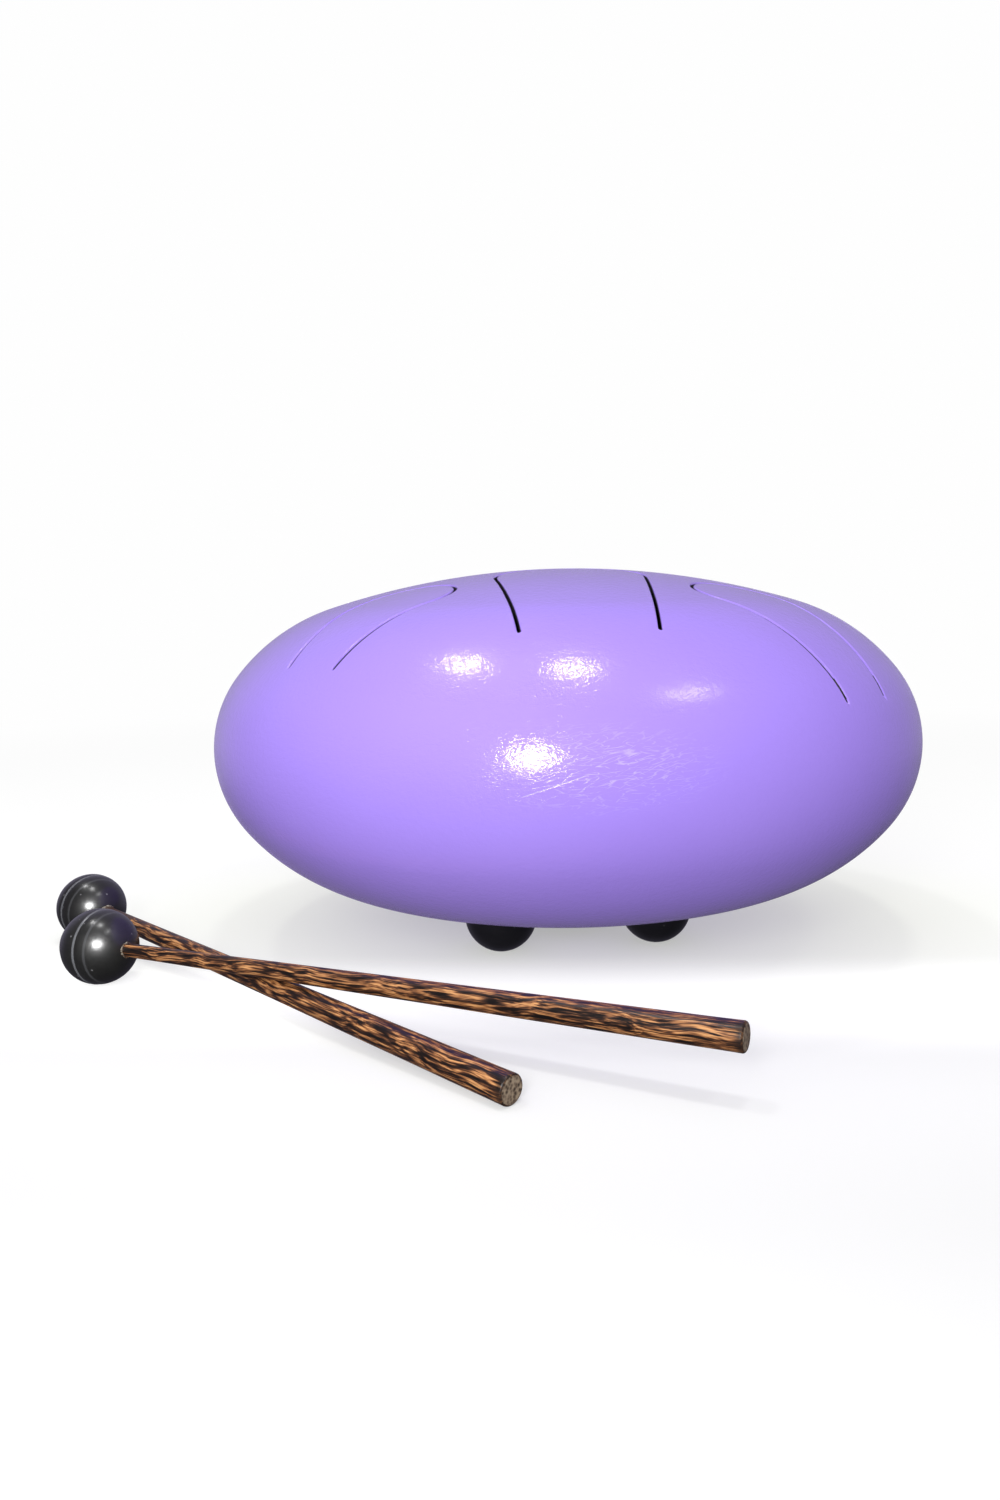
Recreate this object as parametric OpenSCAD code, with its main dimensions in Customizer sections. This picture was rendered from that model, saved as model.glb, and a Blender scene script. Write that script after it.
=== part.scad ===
// Steel tongue drum with its pair of rubber-ball mallets.
// Millimetres, +Z up, the table top at z = 0, the player's side towards -Y.
// The drum is two pressed steel caps welded at the rim. The upper cap has eight
// tongues cut free by U-shaped slots, and the lower cap a sound port and four
// rubber feet. The mallets lie crossed on the table in front of the drum.

/* [Drum body] */
// Diameter at the widest line
body_d = 300; // [270:1:340]
// Height of each cap from the widest line to its crown
cap_h = 73.8; // [68:0.1:84]
// Radius of the tight curve at the rim
knuckle_r = 50; // [46:0.5:56]
// Slope angle where the rim curve meets the shoulder curve
knuckle_angle = 38.5; // [34:0.5:42]
// Slope angle where the shoulder curve meets the crown curve
shoulder_angle = 72.5; // [70:0.5:76]
// Thickness of the steel
wall_t = 2.5; // [1.8:0.1:3.2]

/* [Rim weld] */
// Width of the weld on the outside, ground flush
weld_face_w = 5; // [3:0.5:8]
// Gap between the two cap edges that the weld fills
weld_gap = 0.8; // [0.4:0.1:1.4]
// Height of the square land left under the bevel
weld_land = 0.8; // [0.4:0.1:1.2]
// Radius of the root bead inside
bead_r = 1.6; // [1:0.1:2.5]

/* [Tongues] */
// Width of the slots
slot_w = 1; // [0.8:0.1:2]
// Turn of the ring of tongues from the player's side towards +X
ring_turn = 3; // [0:0.5:10]
// Turn of the front tongue, which leans a little to +X
front_turn = 4.8; // [0:0.1:8]
// Distance of the front tongue's root from the rim, in plan
front_inset = 33; // [28:0.5:40]
// Distance of the front tongue's tip from the drum's axis
front_tip_r = 19; // [12:0.5:26]
// Width of the front tongue across its round tip
front_tip_w = 59; // [50:0.5:62]
// Width of the front tongue at its root
front_root_w = 47.5; // [42:0.5:50]
// Distance of the right tongue's root from the rim, in plan
right_inset = 6.5; // [6:0.1:12]
// Distance of the left tongue's root from the rim, in plan
left_inset = 17; // [10:0.5:24]
// Distance of the other tongues' tips from the drum's axis
ring_tip_r = 72; // [66:0.5:78]
// Width of the ring tongues across their round tips
ring_tip_w = 40; // [34:0.5:41]
// Width of the ring tongues at their roots
ring_root_w = 27; // [22:0.5:32]

/* [Sound port] */
// Diameter of the round opening in the lower cap
port_d = 50; // [36:1:56]

/* [Feet] */
// Diameter of the rubber half balls
foot_d = 30; // [26:0.5:34]
// Diameter of the flat that a foot stands on
foot_flat_d = 7; // [4:0.5:10]
// Distance of the feet from the drum's axis, measured round the crown
foot_circle_r = 47; // [44:0.5:60]
// Turn of the front left foot from the player's side
foot_turn = -34; // [-50:1:-20]
// Diameter of the stud's thread
stud_d = 4; // [3:0.5:5]
// Diameter of the stud's head, moulded into the rubber
stud_head_d = 14; // [10:0.5:16]
// Thickness of the stud's head
stud_head_t = 1.5; // [1:0.1:2]
// Rubber between the stud's head and the cap
stud_cover = 5; // [3:0.5:7]
// Thread that shows past the nut
stud_end = 1.5; // [0.5:0.5:4]
// Clearance round the stud in the cap's hole
stud_clear = 0.25; // [0.1:0.05:0.5]
// Diameter of the washer
washer_d = 9; // [8:0.5:12]
// Thickness of the washer
washer_t = 0.8; // [0.5:0.1:1.2]
// Nut, across its flats
nut_af = 7; // [7:0.5:8]
// Height of the nut
nut_h = 3.2; // [2.4:0.1:4]

/* [Mallets] */
// Diameter of the rubber balls
ball_d = 29.2; // [26:0.1:32]
// Length from the ball's centre to the stick's end
mallet_l = 254; // [240:1:280]
// Depth of the blind bore that the stick is glued into
bore_depth = 20; // [14:0.5:24]
// Radius on the stick's end
butt_edge_r = 0.9; // [0.4:0.1:1.5]
// Distance of the moulding ridge from the ball's centre, away from the stick
ridge_off = 11; // [8:0.5:12]
// Radius of the moulding ridge
ridge_r = 0.35; // [0.2:0.05:0.6]
// Radius of the bead of glue where the stick enters the ball
glue_r = 0.9; // [0.6:0.1:1.4]
// Gap left between the crossed sticks
cross_gap = 0.25; // [0.2:0.05:0.6]

/* [Upper mallet] */
// Stick diameter at the ball
upper_tip_d = 5.2; // [5:0.1:6.5]
// Stick diameter at the end
upper_butt_d = 9.2; // [8:0.1:11]
// Heading of the stick, from +X towards +Y
upper_heading = -24.6; // [-30:0.1:-20]
// How far the stick's line passes outside the drum's widest circle
upper_pass = -0.7; // [-2:0.1:4]
// Length from the ball's centre to where the stick passes nearest the drum
upper_back = 129.6; // [120:0.1:140]

/* [Lower mallet] */
// Stick diameter at the ball
lower_tip_d = 6.5; // [5.5:0.1:7]
// Stick diameter at the end
lower_butt_d = 9.8; // [8:0.1:11]
// Heading of the stick, from +X towards +Y
lower_heading = -40.5; // [-44:0.1:-36]
// How far the stick's line passes outside the drum's widest circle
lower_pass = 3.4; // [0:0.1:8]
// Length from the ball's centre to where the stick passes nearest the drum
lower_back = 142.9; // [136:0.1:150]

/* [Hidden] */
$fn = 128;

// Straight steps in the round tip of a tongue's slot, and in each of its round ends
TIP_STEPS = 24;
END_STEPS = 4;

// Facets of the curves that bound the thin weld
WELD_FACETS = 256;

// Overrun of every cut past the face that it opens
over = 1;

// Places round the drum, from the player's side towards +X
TONGUES = ["front", "right", "right_rear", "rear_right", "rear", "rear_left", "left_rear", "left"];
// Steps of each tongue's note above the front one: a minor pentatonic scale
NOTE_STEPS = [0, 12, 17, 22, 27, 24, 19, 15];
// Steps in which a tongue's length halves, since pitch follows its square
HALVING_STEPS = 24;

CORNERS = ["front_left", "front_right", "back_right", "back_left"];

// Cap profile: three arcs that run into each other, in the plane of radius and height.
// knuckle_extra and shoulder_extra are how much each arc's radius exceeds the one before,
// so that the crown's centre lies on the axis and its top at the cap's height.
body_r = body_d / 2;
knuckle_x = body_r - knuckle_r;
rise = cap_h - knuckle_r;
det = cos(knuckle_angle) * (1 - sin(shoulder_angle)) - cos(shoulder_angle) * (1 - sin(knuckle_angle));
shoulder_extra = (knuckle_x * (1 - sin(shoulder_angle)) - rise * cos(shoulder_angle)) / det;
crown_extra = (rise * cos(knuckle_angle) - knuckle_x * (1 - sin(knuckle_angle))) / det;
shoulder_r = knuckle_r + shoulder_extra;
crown_r = shoulder_r + crown_extra;
shoulder_c = [knuckle_x, 0] - shoulder_extra * [cos(knuckle_angle), sin(knuckle_angle)];
crown_drop = crown_r - cap_h;

// Feet: each stands square to the crown of the lower cap.
foot_r = foot_d / 2;
foot_tilt = asin(foot_circle_r / crown_r);
foot_centre_z = sqrt(foot_r * foot_r - foot_flat_d * foot_flat_d / 4);
body_z = foot_centre_z - crown_drop + crown_r * cos(foot_tilt);
crown_inner_r = crown_r - wall_t;
washer_z = wall_t + crown_inner_r - sqrt(crown_inner_r * crown_inner_r - washer_d * washer_d / 4);
nut_z = washer_z + washer_t;
stud_top = nut_z + nut_h + stud_end;

// Tongues
front_l = body_r - front_inset - front_tip_r;
tongue_step = 360 / len(TONGUES);
function tongue_l(i) = front_l * pow(2, -NOTE_STEPS[i] / HALVING_STEPS);
function tongue_turn(i) = TONGUES[i] == "front" ? front_turn : ring_turn + i * tongue_step;
function tongue_tip_w(i) = TONGUES[i] == "front" ? front_tip_w : ring_tip_w;
function tongue_root_w(i) = TONGUES[i] == "front" ? front_root_w : ring_root_w;
function tongue_tip(i) =
    TONGUES[i] == "front" ? front_tip_r :
    TONGUES[i] == "right" ? body_r - right_inset - tongue_l(i) :
    TONGUES[i] == "left" ? body_r - left_inset - tongue_l(i) :
    ring_tip_r;

// Mallets: a row holds tip radius, butt radius, heading, line's distance from the axis, run back to the ball.
ball_r = ball_d / 2;
neck_s = ball_r + glue_r;
UPPER = [upper_tip_d / 2, upper_butt_d / 2, upper_heading, body_r + upper_pass, upper_back];
LOWER = [lower_tip_d / 2, lower_butt_d / 2, lower_heading, body_r + lower_pass, lower_back];
function heading(m) = along(m[2]);
function ball_place(m) = m[3] * [sin(m[2]), -cos(m[2])] - m[4] * heading(m);
function cross2(a, b) = a[0] * b[1] - a[1] * b[0];
function stick_r(m, s) = m[0] + (m[1] - m[0]) * (s - neck_s) / (mallet_l - butt_edge_r - neck_s);

// Where the two sticks cross in plan, as lengths from the two balls
balls_apart = ball_place(LOWER) - ball_place(UPPER);
heads_cross = cross2(heading(UPPER), heading(LOWER));
upper_s = cross2(balls_apart, heading(LOWER)) / heads_cross;
lower_s = cross2(balls_apart, heading(UPPER)) / heads_cross;

// The lower mallet rests on its ball and on the rim of its end.
lower_run = mallet_l - butt_edge_r;
lower_dip = asin(ball_r / norm([lower_run, LOWER[1]])) - atan2(LOWER[1], lower_run);

// The upper mallet rests on its ball and on the lower stick, so its end stands clear of the table.
sticks_apart = stick_r(UPPER, upper_s) + stick_r(LOWER, lower_s) + cross_gap;
lower_fall = lower_s * tan(lower_dip);
level_slope = (sticks_apart - lower_fall) / upper_s;
upper_line = [heading(UPPER)[0], heading(UPPER)[1], level_slope];
lower_line = [heading(LOWER)[0], heading(LOWER)[1], -tan(lower_dip)];
across = cross(upper_line, lower_line);
height_apart = sticks_apart * norm(across) / abs(across[2]);
upper_dip = -atan((height_apart - lower_fall) / upper_s);

// The whole set is centred on z's axis by its outline in plan.
function butt_end(m, dip) = ball_place(m) + mallet_l * cos(dip) * heading(m);
function butt_low(m, dip) = butt_end(m, dip)[1] - m[1] * cos(m[2]);
low_x = min(-body_r, ball_place(UPPER)[0] - ball_r, ball_place(LOWER)[0] - ball_r);
high_x = max(body_r, butt_end(UPPER, upper_dip)[0], butt_end(LOWER, lower_dip)[0]);
low_y = min(-body_r, butt_low(UPPER, upper_dip), butt_low(LOWER, lower_dip));
set_shift = -[low_x + high_x, low_y + body_r] / 2;

STEEL_PAINT = [0.6, 0.5, 0.9];
STEEL = [0.72, 0.73, 0.75];
RUBBER = [0.07, 0.07, 0.08];
PALM_WOOD = [0.36, 0.22, 0.12];
GLUE = [0.75, 0.7, 0.62];

function along(angle) = [cos(angle), sin(angle)];

module arc_sector(centre, r, from, to)
{
    intersection() {
        translate(centre)
            circle(r);
        polygon([
            centre,
            centre + 2 * r * along(from),
            centre + 2 * r * along((from + to) / 2),
            centre + 2 * r * along(to)
        ]);
    }
}

// Half outline of a cap, moved inwards by inset all round
module cap_outline(inset)
{
    translate([knuckle_x, 0])
        circle(knuckle_r - inset);
    arc_sector(shoulder_c, shoulder_r - inset, knuckle_angle, 90);
    arc_sector([0, -crown_drop], crown_r - inset, shoulder_angle, 90);
}

// Bevelled groove that the rim weld fills, both sides of the widest line
module weld_groove()
{
    land_x = body_r - wall_t + weld_land;
    root_x = body_r - wall_t - bead_r / 2;
    flare = (weld_face_w - weld_gap) / 2 / (wall_t - weld_land);
    edge_y = weld_face_w / 2 + flare * over;
    polygon([
        [root_x, -weld_gap / 2],
        [land_x, -weld_gap / 2],
        [body_r + over, -edge_y],
        [body_r + over, edge_y],
        [land_x, weld_gap / 2],
        [root_x, weld_gap / 2]
    ]);
}

// Pressed cap standing on the widest line, crown up
module cap()
{
    rotate_extrude()
        difference() {
            intersection() {
                cap_outline(0);
                square([body_r + over, cap_h + over]);
            }
            cap_outline(wall_t);
            weld_groove();
        }
}

// Direction square to a tongue's arm, which runs straight from the circle of its tip to its root
function arm_side(run, tip_r, root_y) = atan2(root_y, run) + acos(tip_r / norm([run, root_y]));

// U-shaped slot round a tongue, in plan, its tip at tip_x and its root towards +X
module tongue_slot(tip_x, length, tip_w, root_w)
{
    tip_r = tip_w / 2;
    half = slot_w / 2;
    centre = [tip_x + tip_r, 0];
    root = [tip_x + length, root_w / 2];
    other_root = [root[0], -root[1]];
    side = arm_side(length - tip_r, tip_r, root[1]);
    turn = (360 - 2 * side) / TIP_STEPS;
    end_turn = 180 / END_STEPS;
    outer = [for (k = [0 : TIP_STEPS]) centre + (tip_r + half) * along(side + k * turn)];
    inner = [for (k = [TIP_STEPS : -1 : 0]) centre + (tip_r - half) * along(side + k * turn)];
    end = [for (k = [0 : END_STEPS]) root - half * along(side + k * end_turn)];
    other_end = [for (k = [0 : END_STEPS]) other_root + half * along(-side + k * end_turn)];
    polygon(concat(end, outer, other_end, inner));
}

module on_drum()
{
    translate([set_shift[0], set_shift[1], body_z])
        children();
}

module upper_cap()
{
    color(STEEL_PAINT)
        on_drum()
            difference() {
                cap();
                for (i = [0 : len(TONGUES) - 1])
                    rotate([0, 0, tongue_turn(i) - 90])
                        linear_extrude(cap_h + over)
                            tongue_slot(tongue_tip(i), tongue_l(i), tongue_tip_w(i), tongue_root_w(i));
            }
}

module lower_cap()
{
    color(STEEL_PAINT)
        difference() {
            on_drum()
                mirror([0, 0, 1])
                    cap();
            on_drum()
                translate([0, 0, -cap_h - over])
                    cylinder(d = port_d, h = cap_h);
            for (i = [0 : len(CORNERS) - 1])
                at_foot(i)
                    translate([0, 0, -over])
                        cylinder(d = stud_d + 2 * stud_clear, h = wall_t + 2 * over);
        }
}

module rim_weld()
{
    color(STEEL_PAINT)
        on_drum()
            rotate_extrude() {
                intersection() {
                    weld_groove();
                    translate([knuckle_x, 0])
                        circle(knuckle_r, $fn = WELD_FACETS);
                }
                intersection() {
                    translate([body_r - wall_t, 0])
                        circle(bead_r);
                    translate([knuckle_x, 0])
                        circle(knuckle_r - wall_t, $fn = WELD_FACETS);
                }
            }
}

// Puts its children on the lower cap's outside at a foot, with their +Z square to the cap and inwards
module at_foot(i)
{
    on_drum()
        translate([0, 0, crown_drop])
            rotate([0, 0, foot_turn + i * 360 / len(CORNERS) - 90])
                rotate([0, -foot_tilt, 0])
                    translate([0, 0, -crown_r])
                        children();
}

module stud_shape()
{
    translate([0, 0, -stud_cover - stud_head_t])
        cylinder(d = stud_head_d, h = stud_head_t);
    translate([0, 0, -stud_cover])
        cylinder(d = stud_d, h = stud_cover + stud_top);
}

// Rubber half ball with the stud's head moulded in, cut to the cap above and flat below
module foot(i)
{
    color(RUBBER)
        difference() {
            at_foot(i)
                difference() {
                    sphere(foot_r);
                    translate([0, 0, crown_r])
                        sphere(crown_r);
                    stud_shape();
                }
            translate([set_shift[0] - body_r, set_shift[1] - body_r, -foot_d])
                cube([body_d, body_d, foot_d]);
        }
}

module stud(i)
{
    color(STEEL)
        at_foot(i)
            stud_shape();
}

module washer(i)
{
    color(STEEL)
        at_foot(i)
            translate([0, 0, washer_z])
                difference() {
                    cylinder(d = washer_d, h = washer_t);
                    translate([0, 0, -over])
                        cylinder(d = stud_d + stud_clear, h = washer_t + 2 * over);
                }
}

module nut(i)
{
    color(STEEL)
        at_foot(i)
            translate([0, 0, nut_z])
                difference() {
                    cylinder(r = nut_af / sqrt(3), h = nut_h, $fn = 6);
                    translate([0, 0, -over])
                        cylinder(d = stud_d, h = nut_h + 2 * over);
                }
}

// Lays its children down as a mallet: their +Z becomes the stick's direction, from the ball's centre
module laid(m, dip)
{
    at = ball_place(m) + set_shift;
    translate([at[0], at[1], ball_r])
        rotate([0, 90 + dip, m[2]])
            children();
}

module mallet_ball(m)
{
    ridge_x = sqrt(ball_r * ball_r - ridge_off * ridge_off);
    color(RUBBER)
        difference() {
            union() {
                sphere(ball_r);
                translate([0, 0, -ridge_off])
                    rotate_extrude()
                        translate([ridge_x, 0])
                            circle(ridge_r, $fn = 24);
            }
            translate([0, 0, ball_r - bore_depth])
                cylinder(r = m[0], h = bore_depth + over);
        }
}

// Tapered stick: straight in the ball's bore and in the bead of glue, then a cone to the rounded butt
module mallet_stick(m)
{
    edge_z = mallet_l - butt_edge_r;
    color(PALM_WOOD)
        rotate_extrude() {
            polygon([
                [0, ball_r - bore_depth],
                [m[0], ball_r - bore_depth],
                [m[0], neck_s],
                [m[1], edge_z],
                [m[1] - butt_edge_r, edge_z],
                [m[1] - butt_edge_r, mallet_l],
                [0, mallet_l]
            ]);
            intersection() {
                translate([m[1] - butt_edge_r, edge_z])
                    circle(butt_edge_r, $fn = 32);
                translate([m[1] - butt_edge_r, edge_z])
                    square(butt_edge_r + over);
            }
        }
}

// Bead of glue squeezed out where the stick enters the ball
module mallet_glue(m)
{
    color(GLUE)
        rotate_extrude()
            difference() {
                translate([m[0], sqrt(ball_r * ball_r - m[0] * m[0])])
                    circle(glue_r, $fn = 32);
                circle(ball_r);
                square([m[0], neck_s]);
            }
}

upper_cap();
lower_cap();
rim_weld();
for (i = [0 : len(CORNERS) - 1]) {
    foot(i);
    stud(i);
    washer(i);
    nut(i);
}
laid(UPPER, upper_dip) mallet_ball(UPPER);  // upper_ball
laid(UPPER, upper_dip) mallet_stick(UPPER);  // upper_stick
laid(UPPER, upper_dip) mallet_glue(UPPER);  // upper_glue
laid(LOWER, lower_dip) mallet_ball(LOWER);  // lower_ball
laid(LOWER, lower_dip) mallet_stick(LOWER);  // lower_stick
laid(LOWER, lower_dip) mallet_glue(LOWER);  // lower_glue
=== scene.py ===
"""Steel tongue drum with its pair of rubber-ball mallets, on a pale table in soft light.

Lengths are metres, +Z is up, and the player's side is towards -Y.
"""

import logging
import math
from contextlib import contextmanager
from dataclasses import dataclass, field
from enum import Enum
from typing import Callable, Iterator, Sequence, Union

import bpy
from mathutils import Matrix, Vector, noise


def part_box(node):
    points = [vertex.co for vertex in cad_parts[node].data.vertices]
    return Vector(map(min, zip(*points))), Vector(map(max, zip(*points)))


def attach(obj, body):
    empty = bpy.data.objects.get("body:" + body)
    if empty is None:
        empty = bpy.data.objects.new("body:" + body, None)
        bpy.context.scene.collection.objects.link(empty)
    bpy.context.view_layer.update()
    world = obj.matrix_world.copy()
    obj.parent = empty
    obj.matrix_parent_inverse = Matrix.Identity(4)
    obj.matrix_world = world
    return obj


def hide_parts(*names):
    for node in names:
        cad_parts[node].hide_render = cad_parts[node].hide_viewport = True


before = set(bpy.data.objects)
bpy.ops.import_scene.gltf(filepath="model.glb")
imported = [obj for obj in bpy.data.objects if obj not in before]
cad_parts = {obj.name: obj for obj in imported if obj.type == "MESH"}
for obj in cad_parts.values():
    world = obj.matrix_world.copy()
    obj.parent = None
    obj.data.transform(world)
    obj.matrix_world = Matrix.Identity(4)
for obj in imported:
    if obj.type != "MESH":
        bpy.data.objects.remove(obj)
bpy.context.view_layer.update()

LOG = logging.getLogger("tongue_drum")
MM = 0.001
TINY = 1e-7
MERGE = 2e-6
SECTORS = 8
Outline = list[tuple[float, float]]
Colour = tuple[float, float, float]
Triple = tuple[float, float, float]
Span = tuple[float, float]
Ramp = tuple[tuple[float, Colour], ...]
Value = Union[float, Sequence[float], bpy.types.NodeSocket]
WHITE: Colour = (1.0, 1.0, 1.0)
# Where the middle part of cloudy noise lies
CLOUD: Span = (0.3, 0.7)


class Corner(Enum):
    """Corner of the drum that a foot stands at, with its step round the drum."""

    FRONT_LEFT = 0
    FRONT_RIGHT = 1
    BACK_RIGHT = 2
    BACK_LEFT = 3

    @property
    def label(self) -> str:
        """Name of the corner as it ends a node's name."""
        return self.name.lower()


class Shade(Enum):
    """How the faces of a piece meet in its shading."""

    ROUND = math.radians(50)
    CRISP = math.radians(28)


# Modelling


def only(piece: bpy.types.Object) -> None:
    """Selects one piece, makes it active and deselects all others.

    Args:
        piece: The piece that the next operators act on.
    """
    bpy.ops.object.select_all(action="DESELECT")
    piece.select_set(True)
    bpy.context.view_layer.objects.active = piece


@contextmanager
def editing(piece: bpy.types.Object, kind: str = "VERT") -> Iterator[None]:
    """Opens one piece in edit mode with what is marked in its mesh selected.

    Args:
        piece: The piece to edit.
        kind: Select mode: VERT, EDGE or FACE.
    """
    only(piece)
    bpy.ops.object.mode_set(mode="EDIT")
    bpy.ops.mesh.select_mode(type=kind)
    try:
        yield
    finally:
        bpy.ops.object.mode_set(mode="OBJECT")


def named(name: str) -> bpy.types.Object:
    """Names the object that an operator just made.

    Args:
        name: Name for the object and its mesh.

    Returns:
        The object.
    """
    piece = bpy.context.object
    piece.name = name
    piece.data.name = name
    return piece


def settle(piece: bpy.types.Object, place: Matrix) -> None:
    """Puts a piece in its place and moves that place into its mesh.

    Args:
        piece: The piece, modelled about its own origin.
        place: Where that origin and its axes go in the drum's frame.
    """
    only(piece)
    piece.matrix_world = place
    bpy.ops.object.transform_apply(location=True, rotation=True, scale=True)


def mark_edges(piece: bpy.types.Object, wanted: Callable[[Vector, Vector], bool]) -> None:
    """Marks the edges of a mesh that answer a question, and no other part of it.

    Args:
        piece: The piece whose mesh is marked.
        wanted: Says of an edge's two ends whether the edge is wanted.
    """
    mesh = piece.data
    for polygon in mesh.polygons:
        polygon.select = False
    for vertex in mesh.vertices:
        vertex.select = False
    for edge in mesh.edges:
        a, b = (mesh.vertices[i] for i in edge.vertices)
        edge.select = wanted(a.co, b.co)
        if edge.select:
            a.select = b.select = True


def merge_and_turn_out(piece: bpy.types.Object) -> None:
    """Merges the doubles of a closed mesh and turns its faces outwards.

    Args:
        piece: The piece whose mesh is mended.
    """
    with editing(piece):
        bpy.ops.mesh.select_all(action="SELECT")
        bpy.ops.mesh.remove_doubles(threshold=MERGE)
        bpy.ops.mesh.normals_make_consistent(inside=False)


def lathe(name: str, outline: Outline, turns: int) -> bpy.types.Object:
    """Spins a closed outline once round +Z, as on a lathe.

    Args:
        name: Name of the new piece.
        outline: Points of radius and height in order, on one side of the axis.
        turns: Number of steps round the axis, a multiple of the sectors that are copied round.

    Returns:
        The closed piece, about its own origin.
    """
    bpy.ops.object.select_all(action="DESELECT")
    bpy.ops.mesh.primitive_circle_add(vertices=len(outline), fill_type="NOTHING")
    piece = named(name)
    for vertex, (radius, height) in zip(piece.data.vertices, outline):
        vertex.co = (radius, 0.0, height)
    mark_edges(piece, lambda a, b: a.x < TINY and b.x < TINY)
    with editing(piece, "EDGE"):
        bpy.ops.mesh.delete(type="EDGE")
        bpy.ops.mesh.select_all(action="SELECT")
        axle = {"center": (0, 0, 0), "axis": (0, 0, 1)}
        bpy.ops.mesh.spin(steps=turns // SECTORS, angle=math.tau / SECTORS, **axle)
        bpy.ops.mesh.select_all(action="SELECT")
        bpy.ops.mesh.spin(steps=SECTORS - 1, dupli=True, angle=math.tau * (1 - 1 / SECTORS), **axle)
    merge_and_turn_out(piece)
    return piece


def loft(name: str, rings: Sequence[Sequence[Vector]]) -> bpy.types.Object:
    """Wraps a grid into a tube through closed rings of points and fills both ends.

    Args:
        name: Name of the new piece.
        rings: Rings in order, all with as many points.

    Returns:
        The closed piece.
    """
    around = len(rings[0])
    bpy.ops.object.select_all(action="DESELECT")
    bpy.ops.mesh.primitive_grid_add(x_subdivisions=around, y_subdivisions=len(rings) - 1)
    piece = named(name)
    points = [point for ring in rings for point in (*ring, ring[0])]
    if len(points) != len(piece.data.vertices):
        raise ValueError(f"{name}: {len(points)} points for {len(piece.data.vertices)} vertices")
    for vertex, point in zip(piece.data.vertices, points):
        vertex.co = point
    with editing(piece):
        bpy.ops.mesh.select_all(action="SELECT")
        bpy.ops.mesh.remove_doubles(threshold=MERGE)
        bpy.ops.mesh.fill_holes(sides=0)
        bpy.ops.mesh.normals_make_consistent(inside=False)
    return piece


def combine(piece: bpy.types.Object, tool: bpy.types.Object, operation: str) -> None:
    """Cuts a piece with a tool, or keeps what both hold, and deletes the tool.

    Args:
        piece: The piece that stays.
        tool: The closed shape that cuts it.
        operation: DIFFERENCE or INTERSECT.
    """
    faces = len(piece.data.polygons)
    cut = piece.modifiers.new("cut", "BOOLEAN")
    cut.operation = operation
    cut.solver = "EXACT"
    cut.object = tool
    only(piece)
    bpy.ops.object.modifier_apply(modifier=cut.name)
    if len(piece.data.polygons) < faces / 2:
        raise RuntimeError(f"{tool.name} took most of {piece.name} away")
    bpy.data.objects.remove(tool)


def keep_place(piece: bpy.types.Object, name: str) -> None:
    """Keeps each point's place about the piece's own origin, for its finish to read.

    Args:
        piece: The piece, before it is put in its place.
        name: Name of the vector that its mesh then carries.
    """
    kept = piece.data.attributes.new(name, "FLOAT_VECTOR", "POINT")
    for spot, vertex in zip(kept.data, piece.data.vertices):
        spot.vector = vertex.co


def smooth(piece: bpy.types.Object, shade: Shade) -> None:
    """Shades a piece smooth, apart from edges sharper than its shade's angle."""
    only(piece)
    bpy.ops.object.shade_smooth_by_angle(angle=shade.value, keep_sharp_edges=False)


def arc(centre: tuple[float, float], radius: float, start: float, end: float, steps: int) -> Outline:
    """Points along an arc of an outline.

    Args:
        centre: Centre as radius and height.
        radius: Radius of the arc.
        start: First angle from the radius direction towards the height, in degrees.
        end: Last angle, in degrees.
        steps: Number of straight steps.

    Returns:
        The points from start to end, both included.
    """
    angles = (math.radians(start + (end - start) * k / steps) for k in range(steps + 1))
    return [(centre[0] + radius * math.cos(a), centre[1] + radius * math.sin(a)) for a in angles]


def hand_in(piece: bpy.types.Object, node: str, body: str) -> None:
    """Lets a finished piece stand for its node and move with its body.

    Args:
        piece: The finished piece, in its place.
        node: Node that it stands for.
        body: Body that it moves with.
    """
    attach(piece, body)
    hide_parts(node)
    LOG.info("%s: %d faces, stands for %s", piece.name, len(piece.data.polygons), node)


# Finishes


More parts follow.
